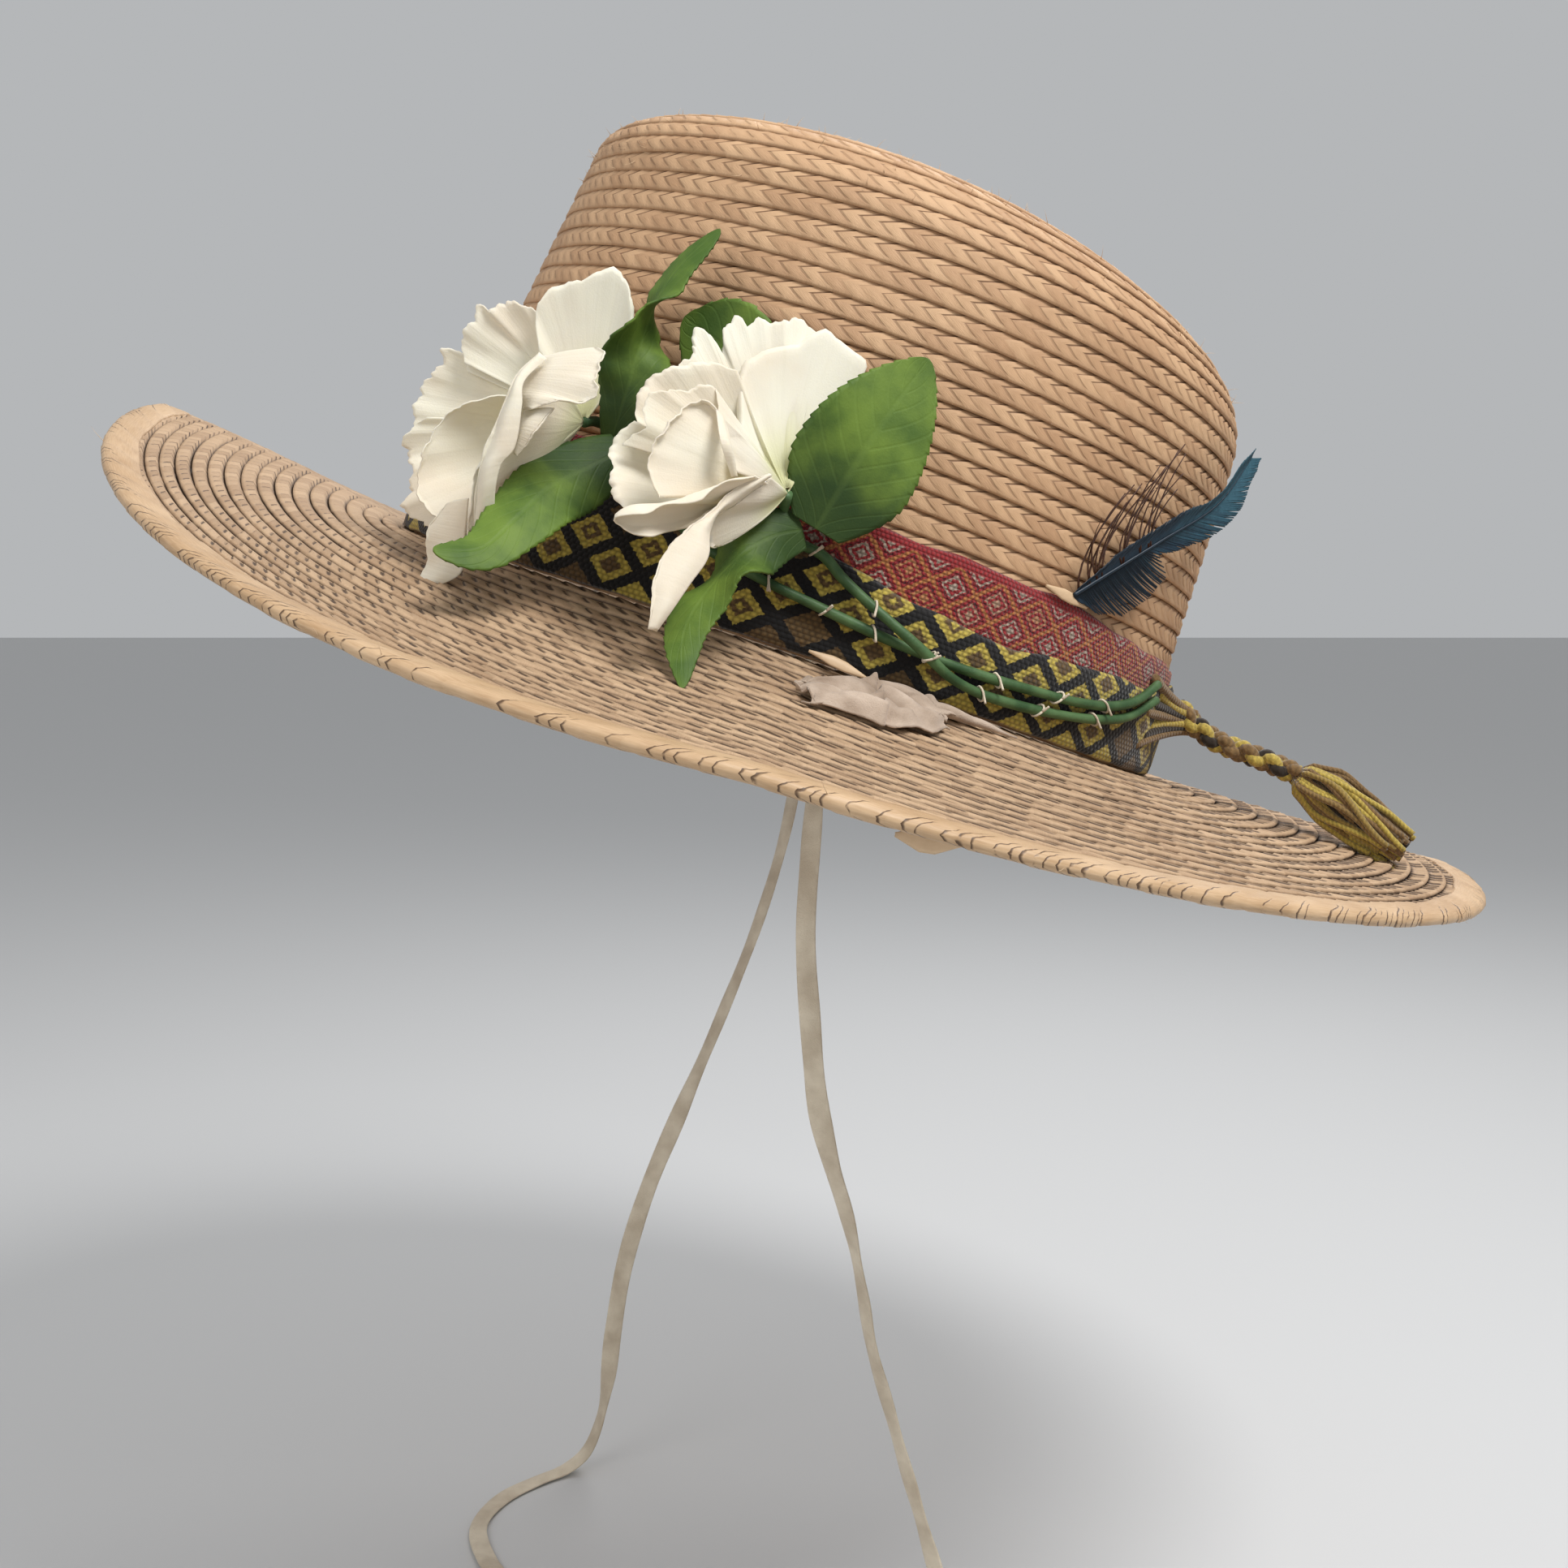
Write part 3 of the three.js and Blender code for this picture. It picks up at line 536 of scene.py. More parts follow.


# Slits of painted shade where the rim's wraps lap: place in a wrap, width as a share of it, reach from the
# edge in mm
WRAP_SLITS = [
    (0.0, 0.08, 5.6), (0.17, 0.05, 2.6), (0.36, 0.065, 3.8), (0.58, 0.05, 3.0), (0.79, 0.065, 4.6),
]
WRAP_ROUGHNESS = 0.45
WRAP_BUMP = (0.35, 0.0003)
WRAP_DARK = (0.42, 0.26, 0.135)
WRAP_PALE = (0.64, 0.45, 0.275)
WRAP_TONE = (0.3, 0.9)
WRAP_DRAW = 3.0
WRAP_SHARE = 0.1
BLOT_GRAIN = 60.0
BLOT_SHARE = 0.55
STREAK_SCALE = (1.2, 2.2)
STREAK_GRAIN = 2.0
STREAK_SHARE = 0.55
WANDER_GRAIN = 150.0
WANDER_SHARE = 0.4
THIN_GRAIN = 380.0
THIN_LIMITS = (0.3, 0.46)
SLIT_DRAW = 40.0
SLIT_PICK = (0.35, 0.4)
SLIT_CORE = 0.3
SLIT_FADE = 0.6
SLIT_SHADE_COLOUR = (0.07, 0.035, 0.018)
SLIT_SHADE_SHARE = 0.9
SLIT_DEPTH = 2.0


def binding_finish():
    """Flat straw folded round the rim: long smooth wraps with painted shade in short slits near the edge
    where they lap. UV is (wrap, distance from the edge in mm)."""
    f = Finish("wrapped_straw", WRAP_ROUGHNESS)
    u, v = f.uv()
    moved = u + WANDER_SHARE * (f.noise(f.place(), WANDER_GRAIN) - 0.5)
    streak = f.noise(f.vector(STREAK_SCALE[0] * u, STREAK_SCALE[1] * v), STREAK_GRAIN, FINE_DETAIL)
    blot = f.noise(f.place(), BLOT_GRAIN)
    tone = WRAP_SHARE * f.chance(f.whole(u), WRAP_DRAW) + BLOT_SHARE * blot + STREAK_SHARE * streak
    colour = f.mix(f.step(WRAP_TONE, tone), WRAP_DARK, WRAP_PALE)
    thin = f.step(THIN_LIMITS, f.noise(f.place(), THIN_GRAIN, ROUGH_DETAIL))
    lap = 0.0
    for start, width, reach in WRAP_SLITS:
        place = moved + start
        picked = f.step(SLIT_PICK, f.chance(f.whole(place), SLIT_DRAW * start))
        near_edge = f.step((reach, SLIT_FADE * reach), v)
        line = f.step((width, SLIT_CORE * width), f.part(place))
        lap = f.most(lap, line * near_edge * thin * picked)
    # Painted shade in the slits where the wraps lap
    colour = f.mix(SLIT_SHADE_SHARE * lap, colour, SLIT_SHADE_COLOUR)
    return f.done(colour, streak - SLIT_DEPTH * lap, *WRAP_BUMP)


LOOSE_ROUGHNESS = 0.5
LOOSE_BUMP = (0.3, 0.0003)
LOOSE_DARK = (0.46, 0.3, 0.16)
LOOSE_PALE = (0.74, 0.55, 0.36)
LOOSE_GRAINS = (420.0, 90.0)
LOOSE_SHARES = (0.5, 0.6)


def loose_finish():
    """Loose straw: a pale flake with fine fibres."""
    f = Finish("loose_straw", LOOSE_ROUGHNESS)
    fibre, blot = (f.noise(f.place(), grain) for grain in LOOSE_GRAINS)
    tone = LOOSE_SHARES[0] * fibre + LOOSE_SHARES[1] * blot
    return f.done(f.mix(tone, LOOSE_DARK, LOOSE_PALE), fibre, *LOOSE_BUMP)


# Woven bands: sizes of a cell and of a knot are in mm along and across the band
WEAVE_ROUGHNESS = 0.9
WEAVE_SHEEN = 0.25
WANDER_SCALES = (0.9, 1.1)
WANDER_SIZES = (1.5, 1.4)
# Painted shade between the knots of a woven band: the share of its colour that their wave darkens
KNOT_SHADE = 0.5
FUZZ_HEIGHT = 0.4


def diamonds(f, u, v, cell):
    """Lattice of diamonds: distance to the nearest lattice line, and the cell's two numbers."""
    a = u / cell[0]
    b = v / cell[1]
    p = a + b
    q = a - b
    return f.least(f.from_whole(p), f.from_whole(q)), f.whole(p), f.whole(q)


def knots(f, u, v, pitch):
    """Little bumps of woven yarn: a wave along times a wave across, each other row moved."""
    row = v / pitch[1]
    along = f.part(u / pitch[0] + 0.5 * f.whole(row))
    return f.wave(math.pi * along) * f.wave(math.pi * f.part(row))


def ragged(f, u, v):
    """UV moved a little by noise, so that woven edges aren't ruled."""
    along = f.noise(f.vector(u, v), WANDER_SCALES[0], ROUGH_DETAIL)
    across = f.noise(f.vector(v, u), WANDER_SCALES[1], ROUGH_DETAIL)
    return u + WANDER_SIZES[0] * (along - 0.5), v + WANDER_SIZES[1] * (across - 0.5)


SASH_CELL = (15.6, 11.9)
SASH_KNOT = (1.5, 1.15)
SASH_CLOUD = 0.8
SASH_FUZZ = 6.0
SASH_BUMP = (0.55, 0.0005)
SASH_YELLOW = ((0.34, 0.25, 0.035), (0.7, 0.55, 0.11))
SASH_BROWN = ((0.06, 0.035, 0.012), (0.2, 0.12, 0.045))
SASH_BLACK = (0.008, 0.007, 0.007)
SASH_LINE = (0.155, 0.125)
LINE_HEIGHT = 0.5
MIDDLE_ROW = 2.0
MIDDLE_ROWS = 1.1
PLAIN_PICK = (0.45, 0.5)
FRAME_LIMITS = (0.33, 0.28)
FRAME_PICK = (0.1, 0.2)
HEART_LIMITS = (0.4, 0.44)
HEART_PICK = (0.6, 0.65)


def sash_finish():
    """Woven sash: black lattice, cells yellow or brown with a yellow frame, knotted yarn."""
    f = Finish("sash_weave", WEAVE_ROUGHNESS, WEAVE_SHEEN)
    u, v = f.uv()
    edge, i, j = diamonds(f, *ragged(f, u, v), SASH_CELL)
    knot = knots(f, u, v, SASH_KNOT)
    cloud = f.noise(f.vector(u, v), SASH_CLOUD)
    from_middle = f.math("ABSOLUTE", i - j - MIDDLE_ROW)
    middle = f.math("COMPARE", from_middle, 0.0, MIDDLE_ROWS)
    pick = f.chance(i, j)
    yellow = f.mix(cloud, *SASH_YELLOW)
    brown = f.mix(cloud, *SASH_BROWN)
    framed = f.step(FRAME_LIMITS, edge) * f.step(FRAME_PICK, pick)
    cell = f.mix(framed * middle, brown, yellow)
    heart = f.step(HEART_LIMITS, edge) * f.step(HEART_PICK, pick)
    cell = f.mix(heart * middle, cell, yellow)
    cell = f.mix((1.0 - middle) * f.step(PLAIN_PICK, pick), cell, yellow)
    line = f.step(SASH_LINE, edge)
    # Painted shade between the knots
    colour = f.shade(f.mix(line, cell, SASH_BLACK), KNOT_SHADE * knot + (1 - KNOT_SHADE))
    fuzz = f.noise(f.vector(u, v), SASH_FUZZ)
    return f.done(colour, FUZZ_HEIGHT * fuzz + LINE_HEIGHT * line + knot, *SASH_BUMP)


RED_CELL = (11.6, 9.4)
RED_KNOT = (1.15, 1.0)
RED_CLOUD = 1.2
RED_FUZZ = 7.0
RED_BUMP = (0.7, 0.0005)
BAND_RED = ((0.2, 0.01, 0.014), (0.46, 0.035, 0.038))
BAND_ORANGE = ((0.36, 0.09, 0.03), (0.6, 0.27, 0.08))
BAND_CREAM = ((0.26, 0.17, 0.13), (0.6, 0.5, 0.4))
BAND_MAROON = (0.08, 0.008, 0.012)
CREAM_PICK = (0.2, 0.4)
RED_LINE = (0.075, 0.045)
# Rings inside a diamond by distance from its edge: where each starts and where it ends
FINE_RING = ((0.2, 0.22), (0.29, 0.27))
FINE_HEART = (0.37, 0.4)
MAROON_RING = ((0.13, 0.15), (0.18, 0.16))
RED_RIM = (18.4, 18.9)


def red_finish():
    """Woven red band: small nested diamonds of orange, maroon and cream on dark red."""
    f = Finish("red_weave", WEAVE_ROUGHNESS, WEAVE_SHEEN)
    u, v = f.uv()
    edge, i, j = diamonds(f, *ragged(f, u, v), RED_CELL)
    knot = knots(f, u, v, RED_KNOT)
    cloud = f.noise(f.vector(u, v), RED_CLOUD)
    red, orange, cream = (f.mix(cloud, *pair) for pair in (BAND_RED, BAND_ORANGE, BAND_CREAM))
    fine = f.mix(f.step(CREAM_PICK, f.chance(i, j)), orange, cream)
    fine_ring, maroon_ring = (
        f.step(start, edge) * f.step(end, edge) for start, end in (FINE_RING, MAROON_RING)
    )
    colour = f.mix(f.step(RED_LINE, edge), red, orange)
    colour = f.mix(fine_ring, colour, fine)
    colour = f.mix(f.step(FINE_HEART, edge), colour, fine)
    colour = f.mix(maroon_ring, colour, BAND_MAROON)
    colour = f.mix(f.step(RED_RIM, v), colour, red)
    # Painted shade between the knots
    colour = f.shade(colour, KNOT_SHADE * knot + (1 - KNOT_SHADE))
    fuzz = f.noise(f.vector(u, v), RED_FUZZ)
    return f.done(colour, FUZZ_HEIGHT * fuzz + knot, *RED_BUMP)


PETAL_ROUGHNESS = 0.72
PETAL_SHEEN = 0.15
PETAL_BUMP = (0.3, 0.0004)
PETAL_GLOW = {
    "Subsurface Weight": 0.12,
    "Subsurface Radius": (0.004, 0.0035, 0.002),
    "Subsurface Scale": 0.5,
}
PETAL_CREAM = ((0.76, 0.67, 0.53), (0.8, 0.76, 0.62))
PETAL_CLOUD = 45.0
PETAL_WEAVE = 2600.0
CLOUD_LIMITS = (0.35, 0.65)
WEAVE_HEIGHT = 0.3
THROAT_COLOUR = (0.58, 0.58, 0.27)
THROAT_LIMITS = (0.6, 0.1)
THROAT_SHARE = 0.8
VEIN_SCALE = (26.0, 1.3)
VEIN_COLOUR = (0.6, 0.54, 0.4)
VEIN_LIMITS = (0.5, 0.3)
VEIN_SHARE = 0.14


def petal_finish():
    """Stiffened cream cloth: fine veins that fan out from the root, yellow-green in the throat."""
    f = Finish("petal_cloth", PETAL_ROUGHNESS, PETAL_SHEEN)
    for key, value in PETAL_GLOW.items():
        f.shader.inputs[key].default_value = value
    u, v = f.uv()
    vein = f.noise(f.vector(VEIN_SCALE[0] * v, VEIN_SCALE[1] * u), 1.0, FINE_DETAIL)
    weave = f.noise(f.place(), PETAL_WEAVE, 1.0)
    cloud = f.noise(f.place(), PETAL_CLOUD)
    colour = f.mix(f.step(CLOUD_LIMITS, cloud), *PETAL_CREAM)
    colour = f.mix(THROAT_SHARE * f.step(THROAT_LIMITS, u), colour, THROAT_COLOUR)
    colour = f.mix(VEIN_SHARE * f.step(VEIN_LIMITS, vein), colour, VEIN_COLOUR)
    return f.done(colour, WEAVE_HEIGHT * weave + vein, *PETAL_BUMP)


LEAF_ROUGHNESS = 0.6
LEAF_BUMP = (0.4, 0.0004)
LEAF_GREEN = ((0.05, 0.105, 0.013), (0.135, 0.215, 0.028))
LEAF_CLOUD = 90.0
LEAF_CLOUD_LIMITS = (0.3, 0.75)
LEAF_WEAVE = 1800.0
LEAF_WEAVE_HEIGHT = 0.35
LEAF_VEINS = 9.0
VEIN_SLANT = 0.28
LEAF_VEIN = (0.12, 0.02)
LEAF_VEIN_SHARE = 0.6
MIDRIB = (0.09, 0.02)
RIB_COLOUR = (0.24, 0.36, 0.09)
RIB_SHARE = 0.07
RIB_DEPTH = 0.5
ROOT_SHADE_COLOUR = (0.014, 0.038, 0.008)
ROOT_LIMITS = (0.6, 0.1)
ROOT_SHADE_SHARE = 0.8
ROOT_CLOUD = 0.5
ROOT_REACH = 0.25


def leaf_finish():
    """Printed leaf cloth: green with a pale midrib and side veins, and painted shade near the root."""
    f = Finish("leaf_cloth", LEAF_ROUGHNESS)
    u, v = f.uv()
    side = f.math("ABSOLUTE", 2.0 * v - 1.0)
    beat = f.from_whole(LEAF_VEINS * (u - VEIN_SLANT * side))
    ribs = f.most(LEAF_VEIN_SHARE * f.step(LEAF_VEIN, beat), f.step(MIDRIB, side))
    cloud = f.noise(f.place(), LEAF_CLOUD, FINE_DETAIL)
    weave = f.noise(f.place(), LEAF_WEAVE, ROUGH_DETAIL)
    colour = f.mix(f.step(LEAF_CLOUD_LIMITS, cloud), *LEAF_GREEN)
    # Painted shade near the root, clouded
    root_shade = f.step(ROOT_LIMITS, ROOT_CLOUD * cloud + u - ROOT_REACH)
    colour = f.mix(ROOT_SHADE_SHARE * root_shade, colour, ROOT_SHADE_COLOUR)
    colour = f.mix(RIB_SHARE * ribs, colour, RIB_COLOUR)
    return f.done(colour, LEAF_WEAVE_HEIGHT * weave - RIB_DEPTH * ribs, *LEAF_BUMP)


STEM_ROUGHNESS = 0.5
STEM_BUMP = (0.3, 0.0003)
STEM_GREEN = ((0.03, 0.075, 0.025), (0.085, 0.16, 0.06))
STEM_CLOUD = 130.0
STEM_CLOUD_LIMITS = (0.3, 0.7)
STEM_RIDGE = 1500.0


def stem_finish():
    """Green plastic-covered wire: paler patches and fine ridges along it."""
    f = Finish("stem_cover", STEM_ROUGHNESS)
    cloud = f.noise(f.place(), STEM_CLOUD)
    ridge = f.noise(f.place(), STEM_RIDGE, ROUGH_DETAIL)
    return f.done(f.mix(f.step(STEM_CLOUD_LIMITS, cloud), *STEM_GREEN), ridge, *STEM_BUMP)


COTTON_ROUGHNESS = 0.9
COTTON_SHEEN = 0.2
COTTON_BUMP = (0.5, 0.0004)
COTTON_WEAVE = 3200.0
COTTON_CLOUD = 110.0
COTTON_CLOUD_LIMITS = (0.25, 0.75)
COTTON_CLOUD_HEIGHT = 1.5


def cotton_finish(name, dark, pale):
    """Worn cotton: fine plain weave, with clouded tone along its folds."""
    f = Finish(name, COTTON_ROUGHNESS, COTTON_SHEEN)
    weave = f.noise(f.place(), COTTON_WEAVE, ROUGH_DETAIL)
    cloud = f.noise(f.place(), COTTON_CLOUD, FINE_DETAIL)
    colour = f.mix(f.step(COTTON_CLOUD_LIMITS, cloud), dark, pale)
    return f.done(colour, COTTON_CLOUD_HEIGHT * cloud + weave, *COTTON_BUMP)


YARN_ROUGHNESS = 0.92
YARN_SHEEN = 0.3
YARN_BUMP = (0.4, 0.0004)
YARN_BLACK = (0.03, 0.02, 0.012)
YARN_BROWN = (0.22, 0.13, 0.05)
YARN_YELLOW = (0.5, 0.37, 0.075)
BROWN_LIMITS = (0.16, 0.2)
YELLOW_LIMITS = (0.66, 0.72)
YARN_FUZZ = 1600.0
# Turns of a yarn's two plies in each mm
PLY_TWIST = 0.85
PLIES = 2.0
FUZZ_SHADE = 0.9
DEEPEST_SHADE = 0.22
PLY_SHADE = 0.11
PLY_HEIGHT = 0.4


def yarn_finish():
    """Wool yarn: each strand takes yellow, olive brown or near black from its own number."""
    f = Finish("yarn", YARN_ROUGHNESS, YARN_SHEEN)
    u, v = f.uv()
    tone = f.mark("tone")
    ply = f.wave(2 * math.pi * (PLIES * v + PLY_TWIST * u))
    fuzz = f.noise(f.place(), YARN_FUZZ)
    colour = f.mix(f.step(BROWN_LIMITS, tone), YARN_BLACK, YARN_BROWN)
    colour = f.mix(f.step(YELLOW_LIMITS, tone), colour, YARN_YELLOW)
    # Painted shade in the grooves between the plies; the fuzz darkens the colour in fine random flecks
    share = PLY_SHADE * (ply + 1.0) + FUZZ_SHADE * fuzz + DEEPEST_SHADE
    return f.done(f.shade(colour, share), PLY_HEIGHT * ply + fuzz, *YARN_BUMP)


FEATHER_ROUGHNESS = 0.4
FEATHER_BUMP = (0.2, 0.0002)
FEATHER_FUZZ = 700.0
FEATHER_BLUE = ((0.004, 0.009, 0.016), (0.012, 0.03, 0.05))
FEATHER_TEAL = ((0.012, 0.045, 0.065), (0.04, 0.12, 0.16))
FEATHER_BROWN = (0.07, 0.026, 0.013)
TEAL_LIMITS = (0.3, 1.0)
WISP_LIMITS = (-0.2, -0.8)


def feather_finish():
    """Feather barbs: near-black blue at the root, teal to the tip, brown wisps by their number."""
    f = Finish("feather_barbs", FEATHER_ROUGHNESS)
    tone = f.mark("tone")
    fuzz = f.noise(f.place(), FEATHER_FUZZ)
    blue, teal = (f.mix(fuzz, *pair) for pair in (FEATHER_BLUE, FEATHER_TEAL))
    colour = f.mix(f.step(TEAL_LIMITS, tone), blue, teal)
    colour = f.mix(f.step(WISP_LIMITS, tone), colour, FEATHER_BROWN)
    return f.done(colour, fuzz, *FEATHER_BUMP)


# Straw by part: pale and deep colour, colour of the painted shade in the creases and gaps, crease width,
# share of low creases, start of the gaps
CROWN_TONES = ((0.62, 0.4, 0.23), (0.43, 0.25, 0.135), (0.15, 0.075, 0.037), 0.13, 0.4, 0.0)
BRIM_TONES = ((0.55, 0.38, 0.235), (0.34, 0.215, 0.125), (0.035, 0.018, 0.012), 0.2, 0.95, 0.2)
STRAW = straw_finish("crown_straw", *CROWN_TONES)
BRIM_STRAW = straw_finish("brim_straw", *BRIM_TONES)
WRAP = binding_finish()
LOOSE = loose_finish()
SASH = sash_finish()
RED = red_finish()
PETAL = petal_finish()
LEAF = leaf_finish()
STEM = stem_finish()
COTTON = cotton_finish("cotton_tape", (0.5, 0.41, 0.3), (0.72, 0.63, 0.49))
# Torn ends and hems: a darker copy of the tape's cotton, partly its own grey-brown and partly painted shade
SHADED_TORN_COTTON = cotton_finish("shaded_torn_cotton", (0.29, 0.21, 0.15), (0.53, 0.42, 0.33))
YARN = yarn_finish()
FEATHER = feather_finish()

# Plait rows. Each row is a closed ring. Its section runs from the root of its lip, round the
# lip and up the strands to where the next row covers it.
# Columns: place across the row, height, lip height, darkness of the painted shadow under the lip, strand
# relief, chevron shift
CROWN_ROW = np.array([
    [0.05, -2.20, 0.00, 0.00, 0.00, 0.00],
    [-0.03, -0.80, 0.15, 0.90, 0.00, 0.00],
    [-0.05, -0.20, 0.32, 0.25, 0.20, 0.00],
    [0.08, 0.08, 0.30, 0.00, 0.40, 0.00],
    [0.32, 0.05, 0.05, 0.00, 0.80, -0.42],
    [0.60, 0.08, 0.00, 0.00, 1.00, -0.85],
    [0.99, -0.35, -0.15, 0.35, 0.70, 0.20],
    [1.06, -1.95, 0.00, 0.55, 0.00, 0.20],
])
BRIM_ROW = np.array([
    [0.03, -2.20, 0.00, 0.00, 0.00, 0.00],
    [-0.04, -0.75, 0.00, 1.00, 0.00, 0.00],
    [-0.05, 0.05, 0.00, 0.40, 0.30, 0.00],
    [0.09, 0.32, 0.00, 0.00, 0.60, 0.00],
    [0.36, 0.20, 0.00, 0.00, 1.00, -0.42],
    [0.64, 0.05, 0.00, 0.00, 1.00, -0.80],
    [0.93, -0.60, 0.00, 0.85, 0.60, 0.15],
    [1.06, -1.95, 0.00, 0.55, 0.00, 0.15],
])
STRAND_FRACTIONS = np.array([0.0, 0.16, 0.6])
STRAND_HEIGHTS = np.array([-1.0, 1.0, 0.1])
STRAND_PITCH = 4.6
CROWN_RELIEF = 0.15
BRIM_RELIEF = 0.19
STRAND_VARIATION = 0.3
ROW_TURN = 0.37
# Share of the lip's height and of the painted shadow under it that is left at the front
FLUSH_LIP = 0.3
FLUSH_GAP = 0.25
LIP_LIMITS = (-0.95, 0.6)
# Waves across a row: height as a share of the row, rate round the hat, start by row
ROW_WAVES = [(0.025, 3, 1.0), (0.02, 11, 2.3)]
ROW_INSIDE = (0.01, 0.99)


def plait_row(index, strands, section, deep, surface):
    """Ring of plait: columns at each strand's edge, crest and flank, sheared into chevrons.
    The lip stands higher at the back than at the front, where the rows lie flush.
    surface(phi, across, height) gives the hat's surface across this row."""
    place, height, lip, gap, relief, shift = (c[:, None] for c in section.T)
    strand = (np.arange(strands)[:, None] + STRAND_FRACTIONS).reshape(-1)[None]
    saw = np.tile(STRAND_HEIGHTS, strands)[None]
    own = np.repeat(rng.normal(0, STRAND_VARIATION, strands), len(STRAND_FRACTIONS))[None]
    phi = 2 * np.pi * (strand + shift) / strands + ROW_TURN * index
    raised = FLUSH_LIP + (1 - FLUSH_LIP) * ease(*LIP_LIMITS, np.sin(phi))
    wobble = ripple(phi, *((high, rate, start * index) for high, rate, start in ROW_WAVES))
    lift = height + lip * raised + deep * relief * (saw + own)
    points = surface(phi, place + wobble, lift)
    u = np.append(strand[0], strands)
    v = index + np.clip(np.append(place[:, 0], place[-1, 0]), *ROW_INSIDE)
    uv = np.stack(np.meshgrid(u, v), -1)
    # Painted shadow under the lips: darker where the lip stands higher
    shade = gap * np.where(np.any(lip > 0), FLUSH_GAP + (1 - FLUSH_GAP) * raised, 1.0)
    return grid(points, uv, loop_rows=True, loop_cols=True, gap=shade)


WALL_ROWS = 20
SHOULDER_ROWS = 5
TOP_ROWS = 11
ROW_PITCH = 4.95
SHOULDER_END = 1.5
SHOULDER_PLACES = [(0, 0.0), (1, 0.19), (3, 0.58), (5, 1.0)]
BRIM_ROWS = 17
BRIM_ROW_EDGE = 6.8
ROW_WIDENING = 0.22
# Reach of the brim's rows at the rim and how much of it they cross, for counting strands
ROWS_REACH = (0.95, 0.97)
WALL_STRETCH = 1.004
NEAR_CENTRE = 0.999
RING_STEPS = 181
FEWEST_STRANDS = 7


def crown_station(phi, station):
    """Stage on the crown of a place counted in rows: even rows up the wall, wider ones round
    the shoulder, then even rows to the centre of the top."""
    fall, shoulder = crown_back(phi)
    wall = WALL_STRETCH * (CROWN_HEIGHT - fall - shoulder)
    arc = 0.5 * np.pi * shoulder
    share = np.interp(station - WALL_ROWS, *np.array(SHOULDER_PLACES).T)
    low = ROW_PITCH * np.minimum(station, WALL_ROWS)
    length = low + share * (wall + arc - SHOULDER_END - ROW_PITCH * WALL_ROWS)
    stage = np.where(length < wall, length / wall, 1 + (length - wall) / arc)
    over = station - WALL_ROWS - SHOULDER_ROWS
    first = 1 + (arc - SHOULDER_END) / arc
    across_top = np.minimum(over / TOP_ROWS, NEAR_CENTRE)
    return np.where(over > 0, first + (3 - first) * across_top, stage)


def crown_rows():
    """All rows of the crown from its foot to the middle of the top."""
    parts = []
    for row in range(WALL_ROWS + SHOULDER_ROWS + TOP_ROWS):
        ring = np.linspace(0, 2 * np.pi, RING_STEPS)
        loop = crown_surface(ring, crown_station(ring, row + 0.5), 0.0)
        girth = distance_along(loop)[-1]
        strands = max(FEWEST_STRANDS, round(girth / STRAND_PITCH))

        def surface(phi, across, lift, row=row):
            """Crown's surface across this row."""
            return crown_surface(phi, crown_station(phi, np.maximum(row + across, 0)), lift)

        parts.append(plait_row(row, strands, CROWN_ROW, CROWN_RELIEF, surface))
    return parts


def brim_station(rows):
    """Share of the way in from the rim of a place counted in rows: rows widen towards the crown."""
    share = rows / BRIM_ROWS
    return share * (1 + ROW_WIDENING * (share - 1))


def brim_rows():
    """All rows of the brim from its rim in to the crown; each lip lies over the row outside it."""
    parts = []
    for row in range(BRIM_ROWS):
        mean_reach = ROWS_REACH[0] - ROWS_REACH[1] * brim_station(row + 0.5)
        girth = np.pi * (CROWN_FOOT[0] + CROWN_FOOT[1] + 2 * BRIM_SIDE * mean_reach)
        strands = round(girth / STRAND_PITCH)

        def surface(phi, across, lift, row=row):
            """Brim's surface across this row, counted in from the rim."""
            edge = reach_from_edge(phi, BRIM_ROW_EDGE)
            return brim_surface(phi, edge - (edge - BRIM_INNER) * brim_station(row + across), lift)

        parts.append(plait_row(row, strands, BRIM_ROW, BRIM_RELIEF, surface))
    return parts


piece("crown_plait", crown_rows(), STRAW, ["crown"])
piece("brim_plait", brim_rows(), BRIM_STRAW, ["brim"])

# Wrapped rim: a flat straw strip folded over the brim's edge. Section points run from the edge
# over the top to the strip's inner side and back below: inward distance, height, and the way
# that each point moves with the relief
WRAPS = 94
WRAP_FRACTIONS = np.array([0.0, 0.08, 0.45, 0.8])
WRAP_HEIGHTS = np.array([-0.08, 0.1, 0.05, 0.0])
WRAP_SECTION = np.array([
    [0.35, -1.00, -1.0, 0.0],
    [0.75, 0.00, -0.7, 0.7],
    [2.00, 0.58, 0.0, 1.0],
    [3.80, 0.70, 0.0, 1.0],
    [6.00, 0.66, 0.0, 1.0],
    [8.10, 0.55, 0.0, 1.0],
    [8.70, 0.20, 0.0, 0.5],
    [8.00, -1.00, 0.0, 0.0],
    [6.00, -2.40, 0.0, 0.0],
    [4.20, -2.70, 0.0, -1.0],
    [2.10, -2.60, 0.0, -1.0],
    [0.75, -2.00, -0.7, -0.7],
])
WRAP_SLANT = 1.3
WRAP_VARIATION = 0.09
# Wave of the strip's inner edge: height and rate, and where it starts and is full
STRIP_WAVE = (0.3, 31, 0.0)
STRIP_LIMITS = (5, 8.7)


